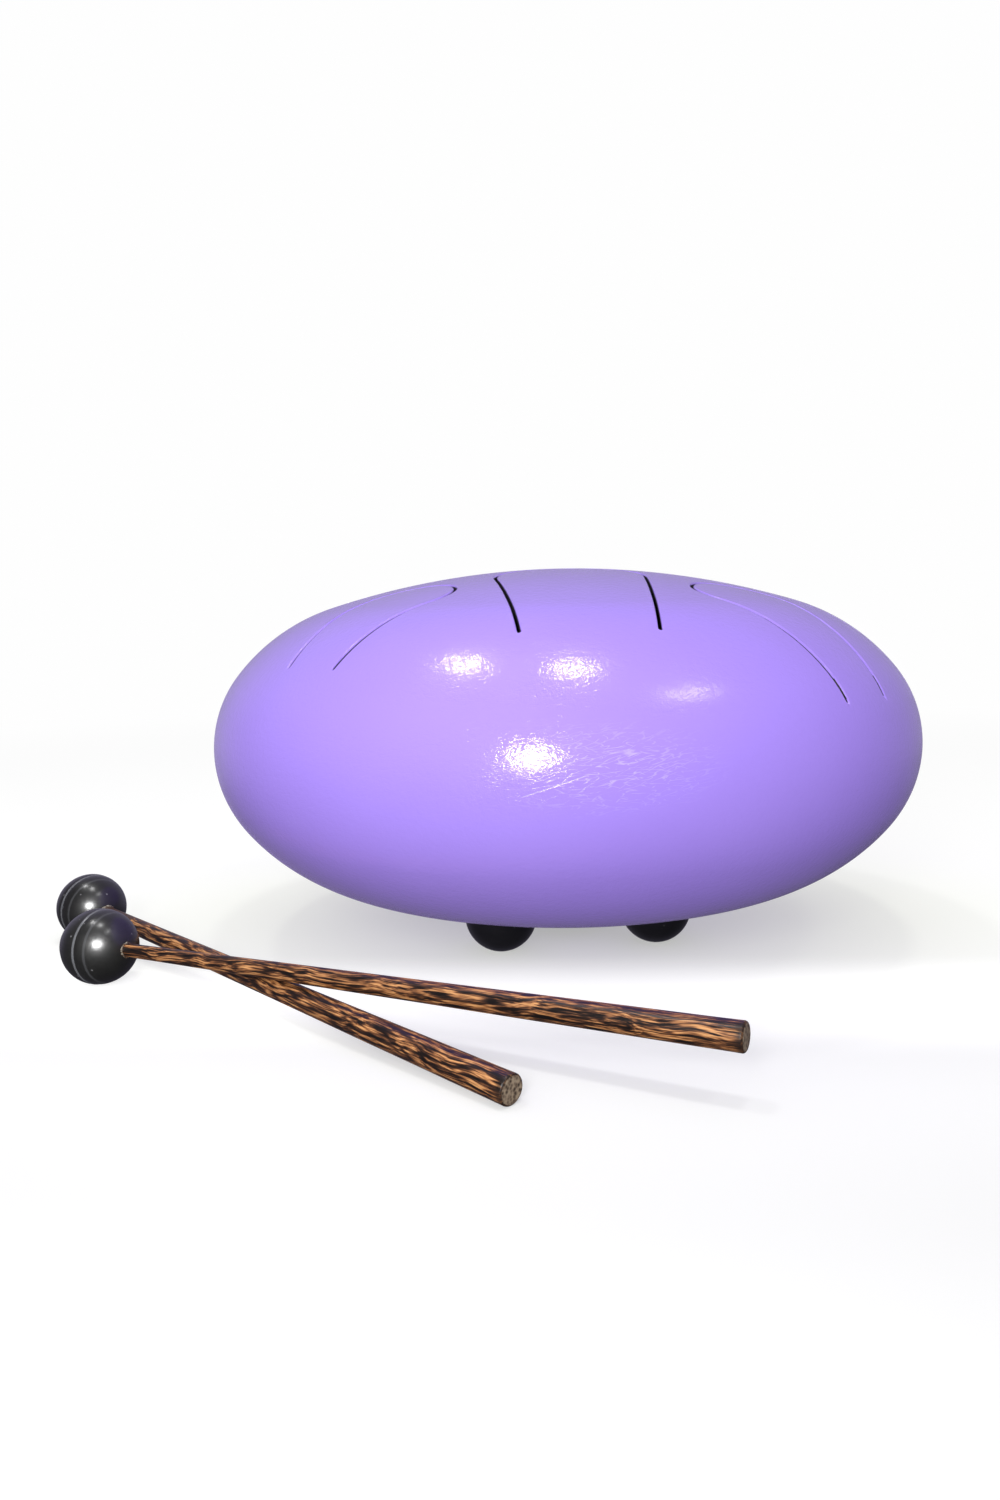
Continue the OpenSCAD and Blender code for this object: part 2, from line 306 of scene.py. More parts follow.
class Graph:
    """Node graph of a material or of the world, built one node at a time."""

    def __init__(self, name: str, for_world: bool = False) -> None:
        """Starts an empty material or world.

        Args:
            name: Name of the material or world.
            for_world: True for a world.
        """
        self.owner = (bpy.data.worlds if for_world else bpy.data.materials).new(name)
        self.owner.use_nodes = True
        self.tree = self.owner.node_tree
        self.tree.nodes.clear()

    def node(self, kind: str, inputs: dict[Union[str, int], Value], **settings: object) -> bpy.types.Node:
        """Adds a node.

        Args:
            kind: The node's kind, without its usual first word.
            inputs: A value or an output for each input that is set.
            settings: The node's own settings.

        Returns:
            The node.
        """
        made = self.tree.nodes.new("ShaderNode" + kind)
        for key, setting in settings.items():
            setattr(made, key, setting)
        for key, value in inputs.items():
            if isinstance(value, bpy.types.NodeSocket):
                self.tree.links.new(value, made.inputs[key])
            else:
                made.inputs[key].default_value = value
        return made

    def place(self) -> bpy.types.NodeSocket:
        """Place on the object, in metres."""
        return self.node("TexCoord", {}).outputs["Object"]

    def attribute(self, name: str) -> bpy.types.NodeSocket:
        """Vector that a mesh carries under a name."""
        return self.node("Attribute", {}, attribute_name=name).outputs["Vector"]

    def moved(
        self, vector: Value, scale: Sequence[float] = (1, 1, 1), shift: Sequence[float] = (0, 0, 0),
        turn: Sequence[float] = (0, 0, 0),
    ) -> bpy.types.NodeSocket:
        """Scales, turns and then shifts a vector.

        Args:
            vector: The vector.
            scale: Factor along each axis.
            shift: Amount added along each axis.
            turn: Turn about each axis, in radians.

        Returns:
            The new vector.
        """
        inputs = {"Vector": vector, "Scale": scale, "Location": shift, "Rotation": turn}
        return self.node("Mapping", inputs).outputs["Vector"]

    def noise(
        self, vector: Value, scale: float, detail: float = 2.0, rough: float = 0.5, bend: float = 0.0
    ) -> bpy.types.NodeSocket:
        """Cloudy noise from 0 to 1.

        Args:
            vector: Where it is read.
            scale: Clouds per unit of the vector.
            detail: Number of finer layers.
            rough: Share of each finer layer.
            bend: How much the clouds are twisted.

        Returns:
            The noise.
        """
        inputs = {"Vector": vector, "Scale": scale, "Detail": detail, "Roughness": rough, "Distortion": bend}
        return self.node("TexNoise", inputs).outputs["Fac"]

    def cells(self, vector: Value, scale: float) -> bpy.types.Node:
        """Scattered cells, with the distance to the nearest one's centre.

        Args:
            vector: Where they are read.
            scale: Cells per unit of the vector.

        Returns:
            The node, with outputs Distance and Color.
        """
        return self.node("TexVoronoi", {"Vector": vector, "Scale": scale})

    def maths(self, operation: str, *values: Value) -> bpy.types.NodeSocket:
        """Arithmetic on one to three numbers."""
        return self.node("Math", dict(enumerate(values)), operation=operation).outputs[0]

    def vectors(self, operation: str, *values: Value) -> bpy.types.Node:
        """Arithmetic on vectors."""
        return self.node("VectorMath", dict(enumerate(values)), operation=operation)

    def fade(
        self, value: Value, start: float, end: float, low: Value = 0.0, high: Value = 1.0
    ) -> bpy.types.NodeSocket:
        """Runs smoothly from one number to another while a value crosses a range.

        Args:
            value: The value that is read.
            start: Where the change starts.
            end: Where it ends.
            low: Number up to start.
            high: Number from end on.

        Returns:
            The number.
        """
        inputs = {"Value": value, 1: start, 2: end, 3: low, 4: high}
        return self.node("MapRange", inputs, interpolation_type="SMOOTHSTEP").outputs[0]

    def ramp(self, value: Value, stops: Ramp) -> bpy.types.NodeSocket:
        """Colour that a number picks from a strip.

        Args:
            value: Place along the strip, from 0 to 1.
            stops: Places and their colours, in order.

        Returns:
            The colour.
        """
        strip = self.node("ValToRGB", {"Fac": value})
        points = strip.color_ramp.elements
        for _ in range(len(stops) - 2):
            points.new(0.5)
        for point, (where, colour) in zip(points, stops):
            point.position = where
            point.color = (*colour, 1.0)
        return strip.outputs["Color"]

    def blend(self, share: Value, first: Value, second: Value) -> bpy.types.NodeSocket:
        """Mixes two colours.

        Args:
            share: Share of the second colour.
            first: Colour at 0, as an output or three numbers.
            second: Colour at 1, as an output or three numbers.

        Returns:
            The mixed colour.
        """
        ends = [v if isinstance(v, bpy.types.NodeSocket) else (*v, 1.0) for v in (first, second)]
        return self.node("Mix", {0: share, 6: ends[0], 7: ends[1]}, data_type="RGBA").outputs[2]

    def bump(self, height: Value, depth: float, below: Value | None = None) -> bpy.types.NodeSocket:
        """Turns a height from 0 to 1 into the lie of the surface.

        Args:
            height: The height.
            depth: Real height of 1, in metres.
            below: The lie of the surface that this goes on.

        Returns:
            The lie of the surface.
        """
        inputs = {"Height": height, "Strength": 1.0, "Distance": depth}
        if below is not None:
            inputs["Normal"] = below
        return self.node("Bump", inputs).outputs["Normal"]

    def finish(self, **inputs: Value) -> bpy.types.Material:
        """Joins the main shader to the output.

        Args:
            inputs: The shader's inputs, with _ for each blank.

        Returns:
            The finished material.
        """
        named_inputs = {key.replace("_", " "): value for key, value in inputs.items()}
        shader = self.node("BsdfPrincipled", named_inputs)
        self.node("OutputMaterial", {"Surface": shader.outputs[0]})
        return self.owner


@dataclass(frozen=True)
class GlossPaint:
    """Sprayed lavender gloss with orange peel, dust nibs and the scuffs of use, the scuffs and a scratch
    painted pale as glints of light.
    """

    colour: Colour = (0.384, 0.258, 0.860)
    deep_colour: Colour = (0.364, 0.240, 0.835)
    rim_tint: Colour = (0.56, 0.42, 1.0)
    rough: Span = (0.21, 0.26)
    peel_width: float = 1.9 * MM
    peel_depth: float = 0.08 * MM
    fine_per_peel: float = 3.4
    fine_share: float = 0.55
    nib_colour: Colour = (0.16, 0.10, 0.34)
    nib_share: float = 0.35
    nib_height: float = 0.02 * MM
    nib_chance: Span = (0.80, 0.82)
    # Pale colour and share of the rub marks and the scratch: painted glints of light
    mark_colour: Colour = (0.80, 0.72, 0.98)
    mark_share: float = 0.32
    mark_depth: float = 0.035 * MM
    mark_width: Span = (0.006, 0.035)
    mark_gaps: Span = (0.42, 0.58)
    gaps_per_mark: float = 2.1
    # Marks per metre, flatness and lean of each layer
    mark_layers: tuple[Triple, ...] = ((75.0, 7.0, 0.10), (150.0, 5.5, -0.14), (115.0, 6.0, 0.33))
    # Middle and reach of the rub marks; their painted glint is strongest here, beside the front lamp's
    # highlight
    scuff_centre: Triple = (0.0125, -0.148, 0.0910)
    scuff_spread: Triple = (0.042, 0.060, 0.016)
    scuff_fade: Span = (0.15, 1.10)
    far_scuff: float = 0.45
    scratch: tuple[Span, Span] = ((-0.0135, 0.0826), (0.0101, 0.0903))
    scratch_edge: Span = (0.05 * MM, 0.22 * MM)
    scratch_start: float = 2 * MM
    scratch_end: float = 4 * MM
    scratch_side: Span = (-0.13, -0.12)

    def scratch_mask(self, graph: Graph, place: bpy.types.NodeSocket) -> bpy.types.NodeSocket:
        """One straight scratch on the player's side, as a mask from 0 to 1; it is painted pale as a glint of
        light and pressed in as a groove.

        Args:
            graph: The paint's graph.
            place: Place on the drum from its axis, in metres.

        Returns:
            The mask.
        """
        (x0, z0), (x1, z1) = self.scratch
        length = math.hypot(x1 - x0, z1 - z0)
        along = ((x1 - x0) / length, 0.0, (z1 - z0) / length)
        across = (-along[2], 0.0, along[0])
        from_start = graph.vectors("SUBTRACT", place, (x0, 0.0, z0)).outputs[0]
        run = graph.vectors("DOT_PRODUCT", from_start, along).outputs["Value"]
        off = graph.maths("ABSOLUTE", graph.vectors("DOT_PRODUCT", from_start, across).outputs["Value"])
        near = graph.fade(off, *self.scratch_edge, 1.0, 0.0)
        begun = graph.fade(run, 0.0, self.scratch_start)
        unended = graph.fade(run, length - self.scratch_end, length, 1.0, 0.0)
        inside = graph.maths("MULTIPLY", begun, unended)
        front = graph.fade(graph.node("SeparateXYZ", {0: place}).outputs[1], *self.scratch_side, 1.0, 0.0)
        return graph.maths("MULTIPLY", graph.maths("MULTIPLY", near, inside), front)

    def swirl(
        self, graph: Graph, place: bpy.types.NodeSocket, scale: float, flat: float, lean: float
    ) -> bpy.types.NodeSocket:
        """One layer of short, slightly curved rub marks, as a mask from 0 to 1.

        Args:
            graph: The paint's graph.
            place: Place on the drum from its axis, in metres.
            scale: Marks per metre along their length.
            flat: Length of a mark, in gaps between marks.
            lean: How far the marks lean from level, in radians.

        Returns:
            The mask.
        """
        spot = graph.moved(graph.moved(place, turn=(0.0, lean, 0.0)), (1.0, 1.0, flat), (lean, lean, lean))
        clouds = graph.noise(spot, scale, detail=0.0, bend=0.25)
        level = graph.maths("ABSOLUTE", graph.maths("SUBTRACT", clouds, 0.5))
        thin = graph.fade(level, *self.mark_width, 1.0, 0.0)
        broken = graph.fade(graph.noise(spot, scale * self.gaps_per_mark), *self.mark_gaps)
        return graph.maths("MULTIPLY", thin, broken)

    def scuff_masks(
        self, graph: Graph, place: bpy.types.NodeSocket
    ) -> tuple[bpy.types.NodeSocket, bpy.types.NodeSocket]:
        """Fine curved rub marks, thickest where the player's hand rubs; their pale colour is painted glint,
        strongest beside the front lamp's highlight.

        Args:
            graph: The paint's graph.
            place: Place on the drum from its axis, in metres.

        Returns:
            How pale the marks are, as painted glint, and how deep they are, as masks from 0 to 1.
        """
        centre, wide = Vector(self.scuff_centre), self.scuff_spread
        spread = graph.moved(place, [1 / w for w in wide], [-c / w for c, w in zip(centre, wide)])
        reach = graph.vectors("LENGTH", spread).outputs["Value"]
        pale = graph.fade(reach, *self.scuff_fade, 1.0, 0.0)
        deep = graph.fade(reach, *self.scuff_fade, 1.0, self.far_scuff)
        coarse, fine, leaning = (self.swirl(graph, place, *layer) for layer in self.mark_layers)
        marks = graph.maths("MAXIMUM", graph.maths("MAXIMUM", coarse, fine), leaning)
        return graph.maths("MULTIPLY", marks, pale), graph.maths("MULTIPLY", marks, deep)

    def build(self, axis: Vector) -> bpy.types.Material:
        """Makes the material.

        Args:
            axis: Where the drum's axis meets the table.

        Returns:
            The paint.
        """
        graph = Graph("lavender_gloss_paint")
        place = graph.moved(graph.place(), shift=-axis)
        cloud = graph.fade(graph.noise(place, scale=9.0, detail=3.0), *CLOUD)
        colour = graph.blend(cloud, self.colour, self.deep_colour)
        dots = graph.cells(place, scale=95.0)
        draw = graph.node("SeparateColor", {0: dots.outputs["Color"]}).outputs[0]
        chance = graph.fade(draw, *self.nib_chance)
        nib = graph.maths("MULTIPLY", graph.fade(dots.outputs["Distance"], 0.02, 0.05, 1.0, 0.0), chance)
        colour = graph.blend(graph.maths("MULTIPLY", nib, self.nib_share), colour, self.nib_colour)
        # The rub marks and the scratch are painted pale, as glints of light off them
        scuff_glints, rubs = self.scuff_masks(graph, place)
        scratch = self.scratch_mask(graph, place)
        pale = graph.maths("MAXIMUM", scuff_glints, scratch)
        colour = graph.blend(graph.maths("MULTIPLY", pale, self.mark_share), colour, self.mark_colour)
        peel = graph.noise(place, 1 / self.peel_width, detail=1.5, rough=0.45)
        fine = graph.noise(place, self.fine_per_peel / self.peel_width, detail=1.0)
        lie = graph.bump(peel, self.peel_depth)
        lie = graph.bump(fine, self.peel_depth * self.fine_share, lie)
        lie = graph.bump(nib, self.nib_height, lie)
        lie = graph.bump(graph.maths("MAXIMUM", rubs, scratch), -self.mark_depth, lie)
        rough = graph.fade(graph.noise(place, scale=30.0, detail=3.0), *CLOUD, *self.rough)
        return graph.finish(
            Base_Color=colour, Roughness=rough, Normal=lie, Coat_Normal=lie,
            Coat_Weight=0.95, Coat_Roughness=0.018, Coat_IOR=1.5, IOR=1.27,
            Sheen_Weight=0.25, Sheen_Roughness=0.3, Sheen_Tint=(*self.rim_tint, 1.0),
        )


@dataclass(frozen=True)
class BareSteel:
    """Mill-finish sheet steel inside the drum, greyed by overspray and a trace of rust."""

    colour: Colour = (0.16, 0.155, 0.16)
    rust: Colour = (0.12, 0.065, 0.04)
    rust_share: float = 0.6
    rough: Span = (0.42, 0.66)
    grain: Triple = (1.0, 1.0, 9.0)
    grain_depth: float = 0.01 * MM

    def build(self) -> bpy.types.Material:
        """Makes the material.

        Returns:
            The steel.
        """
        graph = Graph("bare_sheet_steel")
        place = graph.place()
        stain = graph.fade(graph.noise(place, scale=22.0, detail=5.0, rough=0.65), start=0.55, end=0.75)
        grain = graph.noise(graph.moved(place, self.grain), scale=160.0, detail=3.0)
        colour = graph.blend(graph.maths("MULTIPLY", stain, self.rust_share), self.colour, self.rust)
        return graph.finish(
            Base_Color=colour, Roughness=graph.fade(grain, 0.2, 0.8, *self.rough), Metallic=0.8,
            Normal=graph.bump(grain, self.grain_depth),
        )


@dataclass(frozen=True)
class BurntCut:
    """Walls of the cut slots: black scale with a brown and blue heat tint."""

    colour: Colour = (0.012, 0.011, 0.011)
    tint: Colour = (0.035, 0.022, 0.030)
    rough: Span = (0.55, 0.8)
    ridge: Triple = (1.0, 1.0, 0.12)
    ridge_depth: float = 0.03 * MM

    def build(self) -> bpy.types.Material:
        """Makes the material.

        Returns:
            The scale.
        """
        graph = Graph("burnt_cut_steel")
        place = graph.place()
        ridges = graph.noise(graph.moved(place, self.ridge), scale=1800.0)
        tinted = graph.fade(graph.noise(place, scale=300.0), start=0.4, end=0.7)
        return graph.finish(
            Base_Color=graph.blend(tinted, self.colour, self.tint),
            Roughness=graph.fade(ridges, *CLOUD, *self.rough), Normal=graph.bump(ridges, self.ridge_depth),
        )


@dataclass(frozen=True)
class ZincPlate:
    """Bright zinc on the small steel hardware, with a faint yellow and blue bloom."""

    colour: Colour = (0.66, 0.67, 0.69)
    bloom: Colour = (0.70, 0.66, 0.52)
    rough: Span = (0.22, 0.40)
    scratch: Triple = (1.0, 6.0, 1.0)
    scratch_depth: float = 0.004 * MM

    def build(self) -> bpy.types.Material:
        """Makes the material.

        Returns:
            The plated steel.
        """
        graph = Graph("zinc_plated_steel")
        place = graph.place()
        bloomed = graph.fade(graph.noise(place, scale=260.0, detail=3.0), start=0.35, end=0.75)
        scratches = graph.noise(graph.moved(place, self.scratch), scale=900.0)
        return graph.finish(
            Base_Color=graph.blend(bloomed, self.colour, self.bloom),
            Roughness=graph.fade(scratches, 0.2, 0.8, *self.rough), Metallic=1.0,
            Normal=graph.bump(scratches, self.scratch_depth),
        )


@dataclass(frozen=True)
class SatinRubber:
    """Moulded black rubber with a skin like worn silk, dust specks and rub marks; where ridges are given,
    pale lines are painted along them as highlights.
    """

    name: str
    colour: Colour = (0.004, 0.004, 0.005)
    worn: Colour = (0.008, 0.008, 0.009)
    dust: Colour = (0.20, 0.20, 0.21)
    # Pale colour of the lines painted as highlights along the ridges
    ridge_colour: Colour = (0.16, 0.165, 0.18)
    rough_low: float = 0.285
    rough_high: float = 0.35
    dust_share: float = 0.5
    dust_chance: Span = (0.86, 0.88)
    dust_height: float = 0.02 * MM
    skin: float = 0.45
    skin_rough: float = 0.19
    skin_depth: float = 0.006 * MM
    gloss: float = 1.55
    # Middle, half width and share of each painted highlight line, along the stick's axis from the ball's
    # centre
    ridges: tuple[Triple, ...] = ()

    def build(self) -> bpy.types.Material:
        """Makes the material.

        Returns:
            The rubber.
        """
        graph = Graph(self.name)
        place = graph.place()
        smudge = graph.fade(graph.noise(place, scale=70.0, detail=4.0, rough=0.6), start=0.35, end=0.70)
        colour = graph.blend(smudge, self.colour, self.worn)
        specks = graph.cells(place, scale=420.0)
        draw = graph.node("SeparateColor", {0: specks.outputs["Color"]}).outputs[1]
        chance = graph.fade(draw, *self.dust_chance)
        speck = graph.maths("MULTIPLY", graph.fade(specks.outputs["Distance"], 0.08, 0.20, 1.0, 0.0), chance)
        colour = graph.blend(graph.maths("MULTIPLY", speck, self.dust_share), colour, self.dust)
        # Painted highlights: pale lines where light would catch the seam and beside it
        if self.ridges:
            run = graph.node("SeparateXYZ", {0: graph.attribute("moulded")}).outputs[2]
            for centre, half, share in self.ridges:
                off = graph.maths("ABSOLUTE", graph.maths("SUBTRACT", run, centre))
                pale = graph.fade(off, half * 0.4, half, share, 0.0)
                colour = graph.blend(pale, colour, self.ridge_colour)
        rub = graph.noise(graph.moved(place, (1.0, 1.0, 3.5)), scale=380.0, detail=3.0, rough=0.6)
        rough = graph.fade(rub, 0.3, 0.75, self.rough_low, self.rough_high)
        lie = graph.bump(graph.noise(place, scale=2600.0), self.skin_depth)
        lie = graph.bump(speck, self.dust_height, lie)
        return graph.finish(
            Base_Color=colour, Roughness=rough, Normal=lie, IOR=self.gloss,
            Coat_Weight=self.skin, Coat_Roughness=self.skin_rough, Coat_IOR=1.9,
        )


@dataclass(frozen=True)
class PalmWood:
    """Dark palm wood: near-black fibres through orange-tan pith, under a satin varnish."""

    name: str
    seed: float
    stain_end: float
    butt_at: float
    sway: Triple = (0.004, 0.004, 0.012)
    patch_stretch: float = 0.09
    fibre_stretch: float = 0.05
    fibre_share: float = 0.66
    patch_share: float = 0.78
    darker: float = -0.18
    streaks: Ramp = (
        (0.43, (0.008, 0.005, 0.004)),
        (0.50, (0.032, 0.014, 0.008)),
        (0.55, (0.100, 0.036, 0.014)),
        (0.61, (0.290, 0.112, 0.036)),
        (0.72, (0.620, 0.300, 0.110)),
    )
    pores: Ramp = (
        (0.15, (0.035, 0.024, 0.018)),
        (0.45, (0.150, 0.105, 0.072)),
        (0.80, (0.330, 0.250, 0.175)),
    )
    # Plain dark brown of a band on the stick next to the ball, up to the end given for it, varied by the
    # fibres
    stain: tuple[Colour, Colour] = ((0.050, 0.024, 0.013), (0.110, 0.055, 0.030))
    dark_end: Colour = (0.014, 0.009, 0.007)
    dark_reach: Span = (3.4 * MM, 0.8 * MM)
    flat_reach: Span = (0.12 * MM, 0.02 * MM)
    rough: Span = (0.34, 0.50)
    fibre_depth: float = 0.035 * MM
    patch_depth: float = 0.05 * MM

    def build(self) -> bpy.types.Material:
        """Makes the material.

        Returns:
            The wood.
        """
        graph = Graph(self.name)
        grain = graph.attribute("grain")
        run = graph.node("SeparateXYZ", {0: grain}).outputs[2]
        waves = graph.node("TexNoise", {"Vector": grain, "Scale": 45.0, "Detail": 1.0, "Distortion": 0.5})
        lean = graph.vectors("SUBTRACT", waves.outputs["Color"], (0.5, 0.5, 0.5)).outputs[0]
        bent = graph.vectors("MULTIPLY_ADD", lean, self.sway, grain).outputs[0]
        bent = graph.moved(bent, shift=(self.seed, self.seed * 0.7, self.seed * 1.3))
        patches = graph.noise(graph.moved(bent, (1.0, 1.0, self.patch_stretch)), 900.0, 2.0, 0.55, 0.12)
        fibres = graph.noise(graph.moved(bent, (1.0, 1.0, self.fibre_stretch)), 2200.0, 2.0, 0.6, 0.05)
        patchy = graph.maths("MULTIPLY_ADD", patches, self.patch_share, self.darker)
        wood = graph.maths("MULTIPLY_ADD", fibres, self.fibre_share, patchy)
        colour = graph.ramp(wood, self.streaks)
        in_dark_band = graph.fade(run, self.stain_end - 0.3 * MM, self.stain_end, 1.0, 0.0)
        colour = graph.blend(in_dark_band, colour, graph.blend(fibres, *self.stain))
        dark = graph.fade(run, *(self.butt_at - reach for reach in self.dark_reach), 0.0, 0.75)
        colour = graph.blend(dark, colour, self.dark_end)
        flat = graph.fade(run, *(self.butt_at - reach for reach in self.flat_reach))
        pores = graph.cells(bent, scale=900.0).outputs["Distance"]
        colour = graph.blend(flat, colour, graph.ramp(pores, self.pores))
        lie = graph.bump(fibres, self.fibre_depth)
        lie = graph.bump(patches, self.patch_depth, lie)
        return graph.finish(
            Base_Color=colour, Roughness=graph.fade(wood, 0.40, 0.62, *self.rough), Normal=lie,
            Coat_Weight=0.2, Coat_Roughness=0.26, IOR=1.45,
        )


@dataclass(frozen=True)
class DriedGlue:
    """Squeezed-out glue: cloudy, pale and half clear, browned where it took up dust."""

    colour: Colour = (0.30, 0.27, 0.22)
    brown: Colour = (0.09, 0.055, 0.035)
    rough: Span = (0.12, 0.35)
    lump_depth: float = 0.05 * MM

    def build(self) -> bpy.types.Material:
        """Makes the material.

        Returns:
            The glue.
        """
        graph = Graph("cloudy_dried_glue")
        cloud = graph.noise(graph.place(), scale=900.0, detail=3.0)
        colour = graph.blend(graph.fade(cloud, start=0.42, end=0.62), self.brown, self.colour)
        return graph.finish(
            Base_Color=colour, Roughness=graph.fade(cloud, *CLOUD, *self.rough),
            Normal=graph.bump(cloud, self.lump_depth),
        )


@dataclass(frozen=True)
class PaleTable:
    """Matt white table top that runs into a bright sweep far from the drum; its glow is painted light: weaker
    under the drum as painted shade, stronger on the player's side out to the drum's rim as a painted pool of
    light, and weaker again farther out, where the mallet sticks lie.
    """

    # Colour under the drum, tinted to cancel the purple light that the drum bounces onto it; open_colour is
    # the plain colour
    colour: Colour = (0.455, 0.472, 0.390)
    open_colour: Colour = (0.455, 0.455, 0.455)
    mottle_colour: Colour = (0.5, 0.5, 0.5)
    glow: float = 0.565
    shaded_glow: float = 0.395
    front_glow: float = 0.29
    front_dim: float = -0.120
    open_dim: float = -0.09
    far_light: float = 0.992
    sweep_span: Span = (0.55, 1.25)
    squash: float = 1.6
    shade_back: float = 0.015
    shade_span: Span = (0.12, 0.28)
    glow_span: Span = (0.02, 0.21)
    around_span: Span = (0.34, 0.52)
    # Places along +Y from the drum's axis between which the painted glow on the player's side changes
    open_span: Span = (-0.260, -0.170)
    close_span: Span = (-0.155, -0.095)
    front_span: Span = (-0.095, -0.045)

    def build(self, axis: Vector) -> bpy.types.Material:
        """Makes the material.

        Args:
            axis: Where the drum's axis meets the table.

        Returns:
            The table top.
        """
        graph = Graph("pale_table")
        place = graph.place()
        reach = graph.vectors("LENGTH", place).outputs["Value"]
        away = graph.fade(reach, *self.sweep_span)
        mottle = graph.fade(graph.noise(place, scale=40.0, detail=3.0), 0.2, 0.8, 0.0, 0.015)
        middle = (-axis.x, -self.squash * (axis.y + self.shade_back), 0.0)
        spot = graph.moved(place, (1.0, self.squash, 0.0), middle)
        reach_out = graph.vectors("LENGTH", spot).outputs["Value"]
        shade = graph.blend(graph.fade(reach_out, *self.shade_span), self.colour, self.open_colour)
        matt = graph.node("BsdfDiffuse", {"Color": graph.blend(mottle, shade, self.mottle_colour)})
        # Painted shade: the glow is weaker under the drum
        painted_glow = graph.fade(reach_out, *self.glow_span, self.shaded_glow, self.glow)
        front = graph.node("SeparateXYZ", {0: graph.moved(place, shift=-axis)}).outputs[1]
        # Painted light on the player's side: stronger glow out to the drum's rim, weaker glow farther out
        # where the mallet sticks lie
        close = graph.fade(front, *self.close_span, self.front_dim, self.front_glow)
        close = graph.maths("ADD", close, graph.fade(front, *self.open_span, self.open_dim, 0.0))
        before = graph.fade(front, *self.front_span, 1.0, 0.0)
        around = graph.fade(reach, *self.around_span, 1.0, 0.0)
        painted_glow = graph.maths("MULTIPLY_ADD", close, graph.maths("MULTIPLY", before, around), painted_glow)
        glow = graph.node("Emission", {"Color": (*WHITE, 1.0), "Strength": painted_glow})
        near = graph.node("AddShader", {0: matt.outputs[0], 1: glow.outputs[0]})
        sweep = graph.node("Emission", {"Color": (*WHITE, 1.0), "Strength": self.far_light})
        both = graph.node("MixShader", {0: away, 1: near.outputs[0], 2: sweep.outputs[0]})
        graph.node("OutputMaterial", {"Surface": both.outputs[0]})
        return graph.owner


# Drum


@dataclass(frozen=True)
class CapForm:
    """Outline of a pressed cap: three arcs that run into each other, by the slope of the outside."""

    radius: float = 150 * MM
    height: float = 73.8 * MM
    knuckle: float = 50 * MM
    knuckle_end: float = 38.5
    shoulder_end: float = 72.5
    wall: float = 2.5 * MM

    def arcs(self) -> list[tuple[tuple[float, float], float, float, float]]:
        """The three arcs as centre, radius, first angle and last angle.

        Returns:
            The knuckle at the rim, the shoulder and the crown.
        """
        knuckle_x = self.radius - self.knuckle
        rise = self.height - self.knuckle
        c1, s1 = math.cos(math.radians(self.knuckle_end)), math.sin(math.radians(self.knuckle_end))
        c2, s2 = math.cos(math.radians(self.shoulder_end)), math.sin(math.radians(self.shoulder_end))
        det = c1 * (1 - s2) - c2 * (1 - s1)
        more = (knuckle_x * (1 - s2) - rise * c2) / det
        most = (rise * c1 - knuckle_x * (1 - s1)) / det
        shoulder = self.knuckle + more
        crown = shoulder + most
        return [
            ((knuckle_x, 0.0), self.knuckle, 0.0, self.knuckle_end),
            ((knuckle_x - more * c1, -more * s1), shoulder, self.knuckle_end, self.shoulder_end),
            ((0.0, self.height - crown), crown, self.shoulder_end, 90.0),
        ]

    def outline(self, inset: float, start: float, end: float, step: float) -> Outline:
        """Points along the cap from one slope to another, rim side first.

        Args:
            inset: How far inside the outer face.
            start: First slope, in degrees.
            end: Last slope, in degrees.
            step: Longest straight step.

        Returns:
            The points.
        """
        points: Outline = []
        for centre, radius, low, high in self.arcs():
            low, high = max(low, start), min(high, end)
            if high <= low:
                continue
            steps = max(1, math.ceil((radius - inset) * math.radians(high - low) / step))
            points += arc(centre, radius - inset, low, high, steps)[1 if points else 0:]
        return points

    def slope_at(self, radius: float, inset: float = 0.0) -> float:
        """Slope of the cap where it has a given radius.

        Args:
            radius: The radius.
            inset: How far inside the outer face.

        Returns:
            The slope, in degrees.
        """
        for centre, r, low, high in self.arcs():
            reach = (radius - centre[0]) / (r - inset)
            if math.cos(math.radians(high)) - TINY <= reach <= math.cos(math.radians(low)) + TINY:
                return math.degrees(math.acos(min(1.0, reach)))
        raise ValueError(f"the cap has no radius {radius}")

    def height_at(self, radius: float, inset: float = 0.0) -> float:
        """Height of the cap where it has a given radius.

        Args:
            radius: The radius.
            inset: How far inside the outer face.

        Returns:
            The height.
        """
        slope = self.slope_at(radius, inset)
        for centre, r, low, high in self.arcs():
            if low <= slope <= high:
                return centre[1] + (r - inset) * math.sin(math.radians(slope))
        raise ValueError(f"the cap has no slope {slope}")

    def off_surface(self, radius: float, height: float) -> tuple[float, float, float]:
        """How far a point lies outside the cap, and which way is out there.

        Args:
            radius: Radius of the point.
            height: Height of the point, never below the widest line.

        Returns:
            The distance, and the way out along radius and height.
        """
        for centre, r, low, high in self.arcs():
            dx, dz = radius - centre[0], height - centre[1]
            slope = math.degrees(math.atan2(dz, dx))
            if slope <= high or high == 90.0:
                far = math.hypot(dx, dz)
                return far - r, dx / far, dz / far
        raise ValueError("the last arc takes every point")


